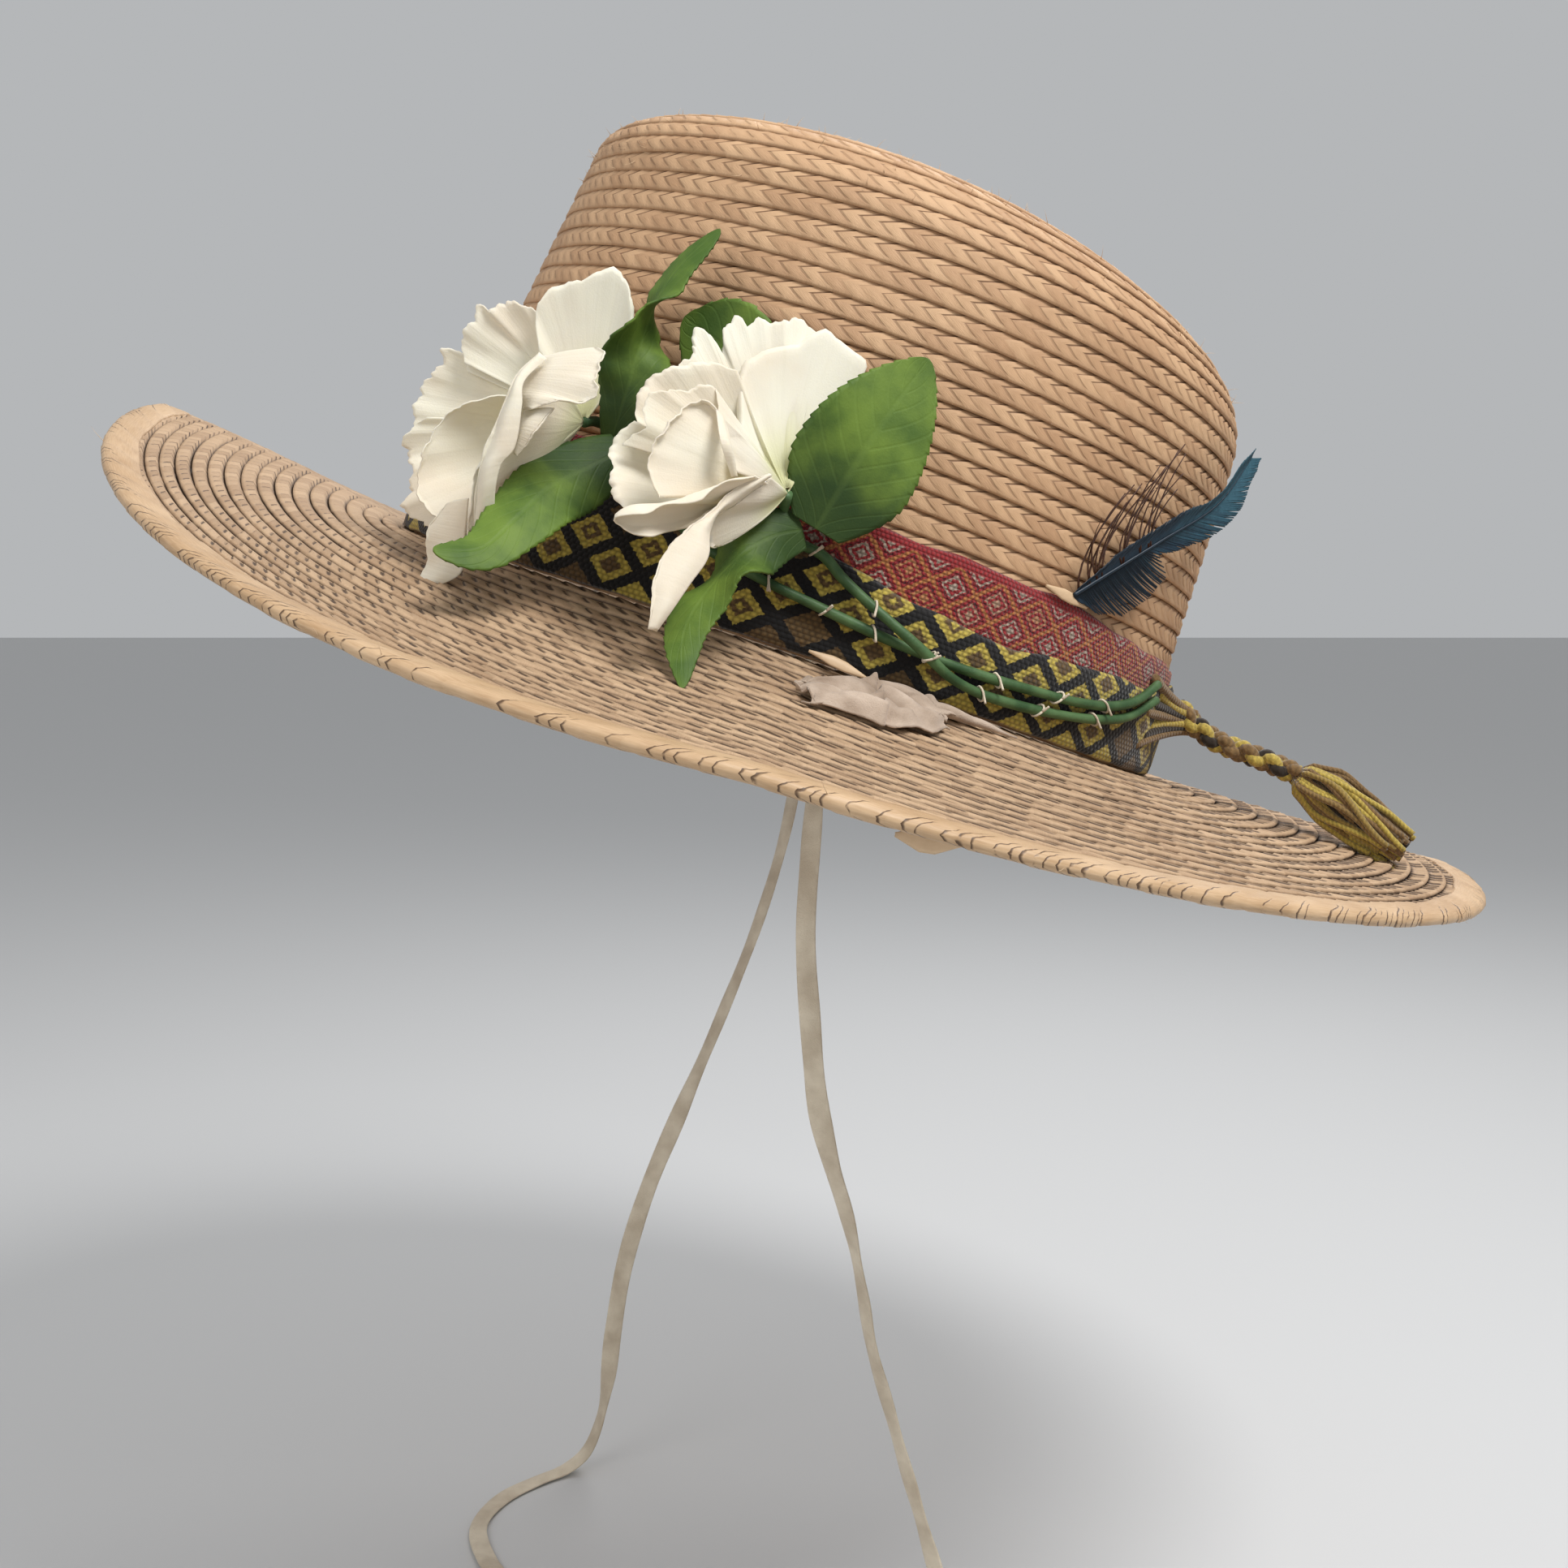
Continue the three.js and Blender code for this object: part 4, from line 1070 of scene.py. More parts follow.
def rim_wraps():
    """Section of the folded strip round the rim, with a slanting saw-tooth relief, one tooth to
    each wrap."""
    inward, up, move_in, move_up = (c[:, None] for c in WRAP_SECTION.T)
    wrap = (np.arange(WRAPS)[:, None] + WRAP_FRACTIONS).reshape(-1)[None]
    tooth = np.tile(WRAP_HEIGHTS, WRAPS)[None]
    own = np.repeat(rng.normal(0, WRAP_VARIATION, WRAPS), len(WRAP_FRACTIONS))[None]
    phi = 2 * np.pi * (wrap + WRAP_SLANT * inward / inward.max()) / WRAPS
    swell = tooth + own
    waver = ripple(phi, STRIP_WAVE) * ease(*STRIP_LIMITS, inward)
    reach = reach_from_edge(phi, inward + waver + move_in * swell)
    points = brim_surface(phi, reach, up + move_up * swell)
    u = np.append(wrap[0], WRAPS)
    v = np.append(inward[:, 0], inward[0, 0])
    uv = np.stack(np.meshgrid(u, v), -1)
    return grid(points, uv, loop_rows=True, loop_cols=True)


piece("rim_wrap", [rim_wraps()], WRAP, ["brim_binding"])

# Woven bands: upper edge by direction, and a section of rises and distances out as shares
BAND_STEPS = 420
RED_TOP = [(-180, 31), (-90, 33), (38, 33), (52, 30.5), (95, 28.5), (180, 31)]
SASH_TOP = [(-180, 24), (-10, 24.5), (27, 18), (48, 21), (95, 26.5), (180, 24)]
BAND_RISES = np.array([0.0, 0.03, 0.12, 0.25, 0.4, 0.55, 0.7, 0.85, 0.96, 1.0, 0.97, 0.03])
BAND_OUTS = np.array([0.35, 0.8, 1.0, 1.0, 1.0, 1.0, 1.0, 1.0, 0.85, 0.4, 0.0, 0.0])
# Foot, inner and outer distance from the crown's wall, upper edge, slack
RED_BAND = (12.0, 0.55, 1.7, RED_TOP, 0.12)
SASH_BAND = (0.5, 2.05, 3.6, SASH_TOP, 0.2)
# Slack waves: rate round the crown, lean with the rise, start
SLACK_WAVES = [(17, 3, 0), (29, -5, 1)]
TOP_WAVE = (0.35, 23, 0)
FOOT_WAVE = (0.25, 41, 2)
# Height on the crown where a band's length is measured
GIRTH_HEIGHT = 10.0


def band(foot, inner, outer, tops, slack):
    """Ring of cloth on the crown's wall: a section with soft edges, with slack waves round it."""
    degrees = np.linspace(-180, 180, BAND_STEPS, endpoint=False)[None]
    top = table(tops, degrees[0])[None]
    rise = BAND_RISES[:, None]
    phi = np.radians(degrees)
    loose = sum(np.sin(rate * phi + lean * rise + start) for rate, lean, start in SLACK_WAVES)
    edge = ripple(phi, TOP_WAVE) * rise + ripple(phi, FOOT_WAVE) * (rise - 0.5)
    height = foot + (top - foot) * rise + edge
    out = inner + (outer - inner + slack * loose * rise * (1 - rise)) * BAND_OUTS[:, None]
    points = crown_wall(degrees, height, out)
    u = distance_along(crown_wall(np.append(degrees[0], 180.0), GIRTH_HEIGHT))
    v = np.concatenate([height - foot, (height - foot)[:, :1]], 1)
    v = np.concatenate([v, v[:1]])
    uv = np.stack([np.broadcast_to(u, v.shape), v], -1)
    return grid(points, uv, loop_rows=True, loop_cols=True)


piece("red_cloth_band", [band(*RED_BAND)], RED, ["red_band"])
piece("sash_cloth_band", [band(*SASH_BAND)], SASH, ["sash_band"])

# Petals: inner line, rim line, belly, roll's radius and turn in degrees, frill, phase. Lines are in
# the hat frame in mm; a petal that grows from the throat has the flower's root as its inner line.
PETAL_WALL = 0.35
PETAL_COLUMNS = 61
PETAL_ROWS = 22
ROLL_ROWS = 8
SCALLOP = 5.2
SCALLOP_DEPTH = 2.0
FRILL_FROM = 0.68
FRILL_HEIGHT = 0.5
FRILLS = [(9.0, 1.0, 1.0), (4.7, 0.3, 2.1), (2.4, 0.1, 3.3)]
# Rim's scallops lie about this share of their height, with a finer wave of height and rate
BITE_MIDDLE = 0.6
FINE_BITE = (0.25, 2.9)
# Share by which the roll's turn varies along the rim, and the length of that wave
ROLL_VARIATION = 0.3
ROLL_WAVE = 2.1
FIRST_ROW = 0.04
SIDE_BELLY = 0.4
# In the finish's count from root 0 to rim 1: where the roll starts, and where a rootless petal does
ROLL_FROM = 0.9
ROOTLESS_FROM = 0.7
LEFT_ROOT = [(80, -59, 38.5)]
RIGHT_ROOT = [(98, -9.6, 37.3)]
PETALS = {
    "flower_left_outer_petals": [
        (LEFT_ROOT, [
            (82, -55, 49), (81, -54.5, 59), (80, -56.8, 67.5), (79, -61, 72.8), (79, -64, 73.5),
            (79, -69, 69),
            (79, -75.5, 64.6), (79, -77, 59), (80, -73.5, 50.5),
        ], -2.0, -1.5, 60, 0.25, 0.3),
        (LEFT_ROOT, [
            (77, -74, 55.5), (76, -77.7, 59), (75, -81, 59.6), (74, -86, 58.8), (74, -87.8, 56),
            (73, -90.7, 56.8),
            (73, -91.4, 52.5), (72, -92.8, 49), (72, -90.4, 43),
        ], -3.0, -1.5, 50, 0.5, 1.1),
        (LEFT_ROOT, [
            (70, -89.5, 41.5), (69, -92, 45), (68, -97, 44.5), (68, -96.3, 41.3), (67, -98.4, 37.3),
            (67, -99.3, 33),
            (67, -99.4, 29), (68, -97, 24),
        ], -3.0, -1.5, 50, 0.6, 2.2),
        (LEFT_ROOT, [
            (72, -95, 28.5), (71, -97.4, 25.6), (70, -99, 21), (70, -97.6, 19.4), (71, -94.7, 15.7),
            (72, -94, 9.5),
            (73, -94.2, 6.7), (74, -90.8, 5.6), (76, -85.7, 5), (78, -81.7, 7.6),
        ], -2.5, -1.5, 50, 0.6, 3.0),
        (LEFT_ROOT, [
            (93, -70.6, 36), (95, -70, 26), (95, -71.3, 18.6), (94, -71, 10.5),
        ], 3.0, 1.5, 40, 0.4, 4.0),
    ],
    "flower_left_middle_petals": [
        (LEFT_ROOT, [
            (88, -74, 38.3), (87, -77.7, 38), (86, -81.8, 35.7), (85, -85.7, 33), (84, -88.8, 29),
            (84, -90.5, 23),
            (84, -90.6, 17), (85, -89, 11), (87, -83.6, 7.7), (90, -75.3, 6),
        ], -4.0, 1.3, 80, 0.3, 0.9),
        (LEFT_ROOT, [
            (98, -69.4, 48.7), (99, -72.4, 44.6), (100, -73.5, 39.7), (101, -74, 34.6), (102, -75, 27.3),
            (102, -75.5, 21), (101, -75, 14), (99, -73.4, 6),
        ], 4.0, 1.5, 120, 0.2, 2.0),
        ([
            (104, -67.5, 47.7), (108, -70, 41.1), (109, -68.6, 36.4), (109, -67.4, 27.3), (109, -69, 23.6),
            (108, -69, 18.5), (105, -67.9, 12.4),
        ], [
            (104, -69.5, 48.6), (105, -72.4, 42.8), (106, -73, 37), (107, -73.5, 29), (107, -73.9, 22.8),
            (106, -73, 14.8), (104, -71, 6.5),
        ], 1.6, 0.9, 70, 0.08, 3.1),
    ],
    "flower_left_inner_petals": [
        ([(99, -69.2, 48.6), (101, -72, 44.5), (103, -72, 39.4), (104, -69, 36)], [
            (101, -63.3, 48), (103, -58.4, 53.3), (105, -56, 52.3), (107, -56, 47.2), (108, -54.7, 45),
            (108, -56.4, 41.2), (108, -62.7, 39.6), (107, -67, 36.3),
        ], 1.1, 1.2, 60, 0.4, 1.6),
        ([(104, -69, 35.4), (105, -68.4, 30.7), (105, -68, 26.5)], [
            (106, -62.6, 38.3), (107, -64.7, 31.8), (106, -67, 26),
        ], 1.2, 0.8, 60, 0.08, 5.0),
    ],
    "flower_left_low_petal": [
        ([(95, -76, 14.2), (95, -74, 6), (94, -72.6, -2), (92, -77, -6.5)], [
            (92, -80.8, 11.5), (90, -83.7, 4.5), (90, -81.8, -3), (90, -82.7, -8.6),
        ], 1.2, -1.0, 50, 0.2, 0.5),
    ],
    "flower_right_outer_petals": [
        (RIGHT_ROOT, [
            (101, -20, 38), (96, -25.2, 51), (91, -27.7, 61.4), (89, -24, 66.4), (87, -18, 70.2),
            (86, -13.6, 75),
            (86, -7, 73.2), (86, -2, 71.2), (87, -4, 61.3), (91, -8, 48),
        ], -2.5, -1.4, 150, 0.2, 0.4),
        (RIGHT_ROOT, [
            (88, -32, 58), (86, -33.5, 63.5), (85, -34.7, 68), (84, -33, 71.8), (84, -30, 70.5),
            (84, -27.7, 73),
            (84, -24, 73), (84, -20.8, 75.4), (84, -15.5, 74), (85, -13, 70),
        ], -2.0, -1.2, 60, 0.5, 1.5),
        (RIGHT_ROOT, [
            (94, -41, 53.6), (92, -40.8, 57.8), (91, -39, 59.6), (90, -40.5, 63.7), (89, -40, 66),
            (89, -35.8, 64.4),
            (89, -32.4, 61.6),
        ], -2.0, -1.2, 60, 0.4, 2.8),
        (RIGHT_ROOT, [
            (102, -45, 41), (101, -46.4, 43.3), (100, -47, 47.6), (98, -45.8, 51.6), (97, -41.5, 55.7),
            (95, -35.4, 59), (94, -28.5, 59.3),
        ], -4.0, -1.4, 80, 0.25, 3.7),
        (RIGHT_ROOT, [
            (104, -45.7, 41.4), (104, -47.8, 38.2), (105, -48.8, 34), (107, -46.7, 30), (109, -46, 27),
            (111, -42, 23), (113, -35, 22.4),
        ], -3.0, -1.4, 70, 0.3, 5.0),
        (RIGHT_ROOT, [(108, -14, 39), (112, -19.5, 31), (112, -23, 26), (110, -21.2, 20.8), (106, -16, 25.4)],
         1.5, 1.0, 40, 0.2, 0.7),
    ],
    "flower_right_middle_petals": [
        (RIGHT_ROOT, [
            (113, -17, 38), (116, -21, 36), (119, -26.6, 31.4), (122, -34, 25.7), (124, -40.3, 23),
            (124, -42, 20.2),
            (122, -39.3, 19.2), (119, -34.7, 20.2), (116, -29, 22.3), (112, -24.3, 28),
        ], 1.0, 1.6, 150, 0.15, 0.6),
        (RIGHT_ROOT, [
            (108, -46.3, 35.3), (108, -44.7, 38), (108, -42.8, 40), (107, -44.5, 46), (106, -42, 49),
            (105, -37.8, 50.4), (104, -32, 53.6), (106, -28.7, 48),
        ], 1.0, -1.0, 60, 0.4, 2.2),
    ],
    "flower_right_inner_petals": [
        (RIGHT_ROOT, [
            (118, -34.4, 27), (118, -38, 31), (117, -39.3, 36.3), (116, -38.3, 40.7), (114, -36.4, 45.4),
            (112, -32.8, 49.4), (111, -28.7, 47.6), (112, -21.5, 37.4),
        ], 3.5, 1.1, 130, 0.3, 0.2),
        ([(112.5, -29.4, 48.5), (117, -26, 41.9), (113, -21.8, 36.1)], [
            (111, -27.2, 47.4), (115, -23.4, 41.9), (112, -20.6, 36.7),
        ], 0.6, 0.4, 40, 0.05, 0.4),
    ],
    "flower_right_low_petal": [
        ([
            (110, -13.9, 39.2), (112, -19.5, 30.7), (114, -21.9, 28.1), (117, -22.2, 23.7),
            (120.5, -20.6, 18.5),
            (124, -22.3, 11.9), (126.5, -24, 6.2), (128, -25.8, 0.8),
        ], [
            (111, -14.5, 39.4), (114, -20.8, 33.4), (117, -23.2, 28.1), (120, -26.6, 23.1),
            (123, -29.4, 16.5),
            (126, -29.7, 10.3), (128, -28.4, 5.7), (129, -27.6, 0.8),
        ], 1.3, -0.9, 60, 0.12, 0.8),
    ],
}
OUTWARD = np.array([1.0, 0.0, 0.3])


def petal(inner, rim, belly, radius, turn, frill, phase):
    """Cloth between an inner line and a rim line: straight ribs that belly out half-way, a rim
    with scallops and waves that grow towards it, and an edge rolled over by a turn about a
    radius. The rolled edge and the belly stand on the petal's mean normal."""
    rim = smooth_path(rim, PETAL_COLUMNS)
    from_root = len(inner) == 1
    fixed = np.repeat(np.array(inner[:1], float), PETAL_COLUMNS, 0)
    inner = fixed if from_root else smooth_path(inner, PETAL_COLUMNS)
    along = distance_along(rim)
    v = np.linspace(0, 1, PETAL_COLUMNS)
    side = np.sqrt(np.maximum(np.sin(np.pi * v), 0))
    rib = rim - inner
    length = np.linalg.norm(rib, axis=1)
    way = rib / length[:, None]
    face = unit(np.cross(np.gradient(rim, axis=0), rib).sum(0))
    face = face * np.sign(face @ OUTWARD)
    bite = np.abs(np.sin(np.pi * along / SCALLOP + phase)) - BITE_MIDDLE
    bite = bite + ripple(along, (*FINE_BITE, 2 * phase))
    curl = 1 - ROLL_VARIATION + ROLL_VARIATION * np.sin(along / ROLL_WAVE + phase)
    curl = np.radians(turn) * curl * side
    short = abs(radius) * np.sin(np.minimum(curl, 0.5 * np.pi))
    cut = 1 + SCALLOP_DEPTH * frill * bite * side / length
    reach = cut - short / length
    s = np.linspace(FIRST_ROW, 1, PETAL_ROWS)[:, None]
    waves = ripple(along, *((high, 2 * np.pi / pitch, k * phase) for pitch, high, k in FRILLS))
    lift = belly * np.sin(np.pi * s * cut) * (SIDE_BELLY + (1 - SIDE_BELLY) * side)
    lift = lift + FRILL_HEIGHT * frill * ease(FRILL_FROM, 1.0, s) * waves
    sheet = inner + rib * (s * reach)[..., None] + face * lift[..., None]
    theta = np.linspace(0, 1, ROLL_ROWS + 1)[1:, None] * curl
    rolled = way * (abs(radius) * np.sin(theta))[..., None]
    rolled = rolled + face * (radius * (1 - np.cos(theta)))[..., None]
    points = np.concatenate([sheet, sheet[-1] + rolled])
    u = np.concatenate([s[:, 0] * ROLL_FROM, np.linspace(ROLL_FROM, 1, ROLL_ROWS)])
    u = u if from_root else ROOTLESS_FROM + (1 - ROOTLESS_FROM) * u
    return shell(points, PETAL_WALL, np.stack(np.meshgrid(u, v, indexing="ij"), -1))


for node, petals in PETALS.items():
    parts = [petal(*row) for row in petals]
    piece(node.replace("flower", "cloth"), parts, PETAL, [node])

# Leaves: points of the midrib, facing, width, place of the full width, root's share of it,
# bluntness of the tip, fold, and turn about the midrib in degrees by place
LEAF_WALL = 0.5
LEAF_STEPS = (145, 17)
LEAVES = {
    "leaf_upper": (
        [(82, -51.5, 33), (86, -51.1, 49.2), (84.5, -51.8, 63.4), (80.5, -49.6, 76.6), (76, -43.3, 89.8)],
        (0.88, -0.47, 0), 16, 0.36, 0.2, 0.66, 1.0,
        [(0, -15), (0.2, 0), (0.34, 30), (0.5, 95), (0.68, 155), (1, 172)],
    ),
    "leaf_lower": (
        [
            (84.5, -47.5, 36), (90, -54, 28.8), (100, -59.5, 21.5), (110, -62.9, 13), (117, -67, 5),
            (122, -75.3, 1.8),
        ],
        (0.9, 0.15, 0.4), 18, 0.3, 0.5, 0.56, -2.0, [(0, 0), (0.5, 10), (1, 25)],
    ),
    "leaf_right": (
        [(95, -1.2, 32), (96.5, 3.9, 53.5), (93, 10.6, 75.2)],
        (1, 0, 0), 29, 0.34, 0.42, 0.68, 0.9, [(0, 0), (1, 0)],
    ),
    "leaf_hanging": (
        [
            (94, -4, 31), (99, -9.5, 27.5), (104, -13.9, 22.4), (109, -18.4, 13.1), (116, -20.7, 2.7),
            (126, -17.2, -8.8),
        ],
        (1, -0.2, 0.3), 15, 0.3, 0.6, 0.72, -1.0, [(0, -25), (0.22, -10), (0.42, 52), (0.62, 14), (1, -10)],
    ),
    "leaf_back": (
        [(81, -25, 46), (77.5, -32, 63), (74.5, -45, 69)],
        (0.95, -0.3, 0), 25, 0.6, 0.15, 0.7, 0.5, [(0, 0), (1, 0)],
    ),
}
LEAF_TOOTH = 2.5
TOOTH_DEPTH = 0.55
# Where along a leaf its teeth grow and shrink, and how far across they start
TEETH_START = (0.08, 0.2)
TEETH_END = (1.0, 0.93)
TEETH_FROM = 0.93
LEAF_TIP = 0.02
FOLD_POWER = 1.3
# Waves of a leaf's edge and of the cloth between its veins: height, rate, and start or slant
EDGE_WAVE = (0.55, 11, 1.5)
VEIN_WAVE = (0.1, 18 * np.pi, 0.28)


def leaf(midrib, facing, width, fullest, root_share, blunt, fold, turn):
    """Leaf on a smooth midrib: oval outline with saw teeth, folded along the midrib, edges
    waved, and turned about the midrib by the degrees of the turn table."""
    u, v = sheet_places(LEAF_STEPS)
    line = smooth_path(midrib, LEAF_STEPS[0])
    tangent = unit(np.gradient(line, axis=0))
    flat_across = unit(np.cross(np.asarray(facing, float), tangent))
    flat_front = np.cross(tangent, flat_across)
    angle = np.radians(table(turn, u[:, 0]))[:, None]
    across = flat_across * np.cos(angle) + flat_front * np.sin(angle)
    front = flat_front * np.cos(angle) - flat_across * np.sin(angle)
    rising = np.sin(0.5 * np.pi * np.clip(u / fullest, 0, 1))
    falling = np.cos(0.5 * np.pi * np.clip((u - fullest) / (1 - fullest), 0, 1)) ** blunt
    to_tip = LEAF_TIP + (1 - LEAF_TIP) * falling
    share = np.where(u < fullest, root_share + (1 - root_share) * rising, to_tip)
    tooth = (u * distance_along(line)[-1] / LEAF_TOOTH) % 1.0
    teeth = TOOTH_DEPTH * tooth * ease(*TEETH_START, u) * ease(*TEETH_END, u)
    half = 0.5 * width * share - np.where(np.abs(v) > TEETH_FROM, teeth, 0.0)
    height, rate, start = EDGE_WAVE
    wave = height * np.sin(rate * u + start * np.sign(v)) * v**2
    height, rate, slant = VEIN_WAVE
    wave = wave + height * np.sin(rate * (u - slant * np.abs(v))) * np.abs(v) * (1 - v**2)
    lift = (fold * np.abs(v) ** FOLD_POWER + wave) * share
    points = line[:, None] + across[:, None] * (half * v)[..., None] + front[:, None] * lift[..., None]
    return shell(points, LEAF_WALL, np.stack([u, 0.5 + 0.5 * v], -1))


for node, row in LEAVES.items():
    piece(node.replace("leaf", "cloth_leaf"), [leaf(*row)], LEAF, [node])

# Stems and the thread loops that hold them to the sash
STEM_OUT = 5.25
STEM_RADIUS = 1.2
LEFT_BASE = crown_wall(-33, 36, 10)
RIGHT_BASE = crown_wall(-5.5, 27, 10)
LEFT_AXIS = unit(np.array([0.4, -0.91, 0.1]))
RIGHT_AXIS = unit(np.array([0.74, -0.36, 0.57]))
STEM_LEAD = 5.0
LEFT_STEM = [
    (-24, 26.5, 0.75), (-15, 17.5, 0), (-5.5, 13.6, 0), (1.2, 12, 0), (7, 10.8, 0), (13, 9.8, 0),
    (19, 9.4, 0),
    (26, 9.6, 0), (33, 10.4, 0), (41, 11.6, 0), (49, 14, 0), (55, 17.8, 0), (60, 23.6, 0),
]
RIGHT_STEM = [
    (0.4, 22.8, 0), (3.8, 19.4, 0), (7.5, 16.4, 1), (12, 13, 3), (16, 10, 3.6), (20, 7, 2.6),
    (25, 5.6, 0.5),
    (31, 5.9, 0), (39, 7.4, 0), (47, 9.8, 0), (54, 13.2, 0), (61, 19.6, 0),
]
STEM_STEPS = 90
STEM_SIDES = 12
# Swellings of the wire: height as a share, and how far their wave runs
SWELL = 0.05
SWELL_RUN = 30
# Thread loops: places along the left and the right stem as shares of the length
LOOPS = [(0.35, 0.43, 0.5, 0.58, 0.68, 0.78, 0.87), (0.16, 0.3, 0.42, 0.55, 0.67, 0.8)]
LOOP_RADIUS = 1.5
LOOP_LEAN = 0.9
LOOP_STEPS = 16
# A loop's loose end: steps, and how far it goes out, to the side and along the stem
END_STEPS = 6
LOOSE_END = (1.0, 1.7, 0.6)
THREAD = 0.3
THREAD_SIDES = 5


def stem_path(root, base, axis, route):
    """Line from the petals' root, back along the flower's axis, then along places on the sash."""
    places = [crown_wall(at, height, STEM_OUT + out) for at, height, out in route]
    foot = base - GAP * axis
    return smooth_path([np.asarray(root), foot, foot - STEM_LEAD * axis, *places], STEM_STEPS)


STEM_PATHS = [
    stem_path(LEFT_ROOT[0], LEFT_BASE, LEFT_AXIS, LEFT_STEM),
    stem_path(RIGHT_ROOT[0], RIGHT_BASE, RIGHT_AXIS, RIGHT_STEM),
]


def stem(path, phase):
    """Round wire with slight swellings along it."""
    swell = 1 + SWELL * np.sin(np.linspace(0, SWELL_RUN, len(path)) + phase)
    section = circle(STEM_RADIUS, STEM_SIDES)[None] * swell[:, None, None]
    return tube(path, section, (0, 0, 1))


def thread_loop(path, share, lean):
    """Ring of thread round a stem, leaning along it, with a loose end that stands out."""
    i = int(share * (len(path) - 1))
    along = unit(path[i + 1] - path[i - 1])
    out = unit(path[i] * np.array([1.0, 1.0, 0.0]))
    side = unit(np.cross(along, out))
    a = np.linspace(0, 2 * np.pi, LOOP_STEPS)[:, None]
    ring = path[i] + LOOP_RADIUS * (np.cos(a) * out + np.sin(a) * side) + lean * np.sin(a) * along
    end = LOOSE_END[0] * out + LOOSE_END[1] * side * np.sign(lean) + LOOSE_END[2] * along
    tail = ring[-1] + np.linspace(0, 1, END_STEPS)[1:, None] * end
    return tube(np.vstack([ring, tail]), circle(THREAD, THREAD_SIDES), along + ASKEW)


piece("stem_left_wire", [stem(STEM_PATHS[0], 0.0)], STEM, ["stem_left"])
piece("stem_right_wire", [stem(STEM_PATHS[1], 2.0)], STEM, ["stem_right"])
tied = [(path, share) for path, shares in zip(STEM_PATHS, LOOPS) for share in shares]
loops = [thread_loop(path, share, LOOP_LEAN * (-1) ** n) for n, (path, share) in enumerate(tied)]
piece("stem_threads", loops, COTTON)

# Feather: barbs on both sides of a quill, short and open near the root on the upper side
QUILL = np.array([(68.6, 62, 37.6), (58, 79.1, 56.8), (48, 91.2, 70.5), (38, 97.4, 84.9)])
BARBS = 150
BARB_STEPS = 7
LOWER_VANE = [
    (0, 3), (0.04, 8.5), (0.11, 12), (0.2, 12), (0.31, 10), (0.35, 3.5), (0.4, 6), (0.5, 8.5),
    (0.7, 8.5), (0.9, 6),
    (1, 3.5),
]
LOWER_LEAN = [(0, 1.4), (0.3, 1.25), (0.37, 0.85), (0.5, 0.7), (1, 0.65)]
UPPER_VANE = [(0, 3), (0.15, 7), (0.45, 7), (0.6, 5), (0.8, 5), (1, 2.5)]
WISPS = 17
FEATHER_FACE = np.array([0.7, 0.7, 0.15])
QUILL_RADIUS = 0.55
QUILL_SIDES = 6
# Quill's thickness at the root and its loss to the tip, as shares of the radius
QUILL_TAPER = (1.05, 0.85)
QUILL_TONE = 0.1
BARB_WIDTH = 0.42
BARB_TAPER = 0.6
BARB_SECTION = np.array([[-1, 0], [0, 0.16], [1, 0], [0, -0.16]])
BARB_JITTER = 0.02
TONE_RISE = 1.1
TONE_JITTER = 0.08
UPPER_LEAN = 0.6
# Droop away from the crown in mm, and bend along the quill as a share, of each vane's barbs
LOWER_CURL = (0.8, 0.15)
UPPER_CURL = (0.6, 0.25)
# Wisps: share of the quill they grow on, then limits of their lengths, leans, droops and bends
WISP_SHARE = 2 / 5
WISP_WIDTH = 0.5
WISP_LENGTHS = (12, 22)
WISP_LEANS = (1.2, 1.85)
WISP_DROOPS = (2, 7)
WISP_BENDS = (0.25, 0.9)
WISP_TONE = -1.0


def barbs(starts, along, side, out, lengths, sweep_angle, droop, bend, width, tone):
    """Thin tapered strips from points on the quill: each leaves at an angle and curls a little."""
    parts = []
    t = np.linspace(0, 1, BARB_STEPS)[:, None]
    rows = zip(starts, along, side, out, lengths, sweep_angle, droop, bend, tone)
    for p, a, s, o, length, angle, d, c, k in rows:
        direction = a * math.cos(angle) + s * math.sin(angle)
        path = p + length * (t * direction + c * t**2 * a) + d * t**2 * o
        half = width * (1 - BARB_TAPER * t[:, 0])
        parts.append(tube(path, BARB_SECTION[None] * half[:, None, None], o, tone=k))
    return parts


def feather():
    """Quill and its barbs, from the root over the red band to the tip."""
    u = np.linspace(0, 1, BARBS)
    line = smooth_path(QUILL, BARBS)
    along = unit(np.gradient(line, axis=0))
    out = np.broadcast_to(unit(FEATHER_FACE), line.shape)
    side = unit(np.cross(out, along))
    taper = (QUILL_TAPER[0] - QUILL_TAPER[1] * u)[:, None, None]
    quill = tube(line, circle(QUILL_RADIUS, QUILL_SIDES)[None] * taper, out, tone=QUILL_TONE)
    jitter = rng.normal(0, BARB_JITTER, BARBS)
    tone = u * TONE_RISE + rng.normal(0, TONE_JITTER, BARBS)
    plain = np.ones(BARBS)
    vanes = [
        (-side, LOWER_VANE, table(LOWER_LEAN, u), LOWER_CURL),
        (side, UPPER_VANE, UPPER_LEAN, UPPER_CURL),
    ]
    parts = [quill]
    for way, vane, lean, (droop, bend) in vanes:
        curl = (lean + jitter, droop * plain, bend * plain)
        parts += barbs(line, along, way, out, table(vane, u), *curl, BARB_WIDTH, tone)
    k = rng.integers(2, int(BARBS * WISP_SHARE), WISPS)
    shape = [rng.uniform(*limits, WISPS) for limits in (WISP_LENGTHS, WISP_LEANS, WISP_DROOPS, WISP_BENDS)]
    brown = np.full(WISPS, WISP_TONE)
    return parts + barbs(line[k], along[k], side[k], out[k], *shape, WISP_WIDTH, brown)


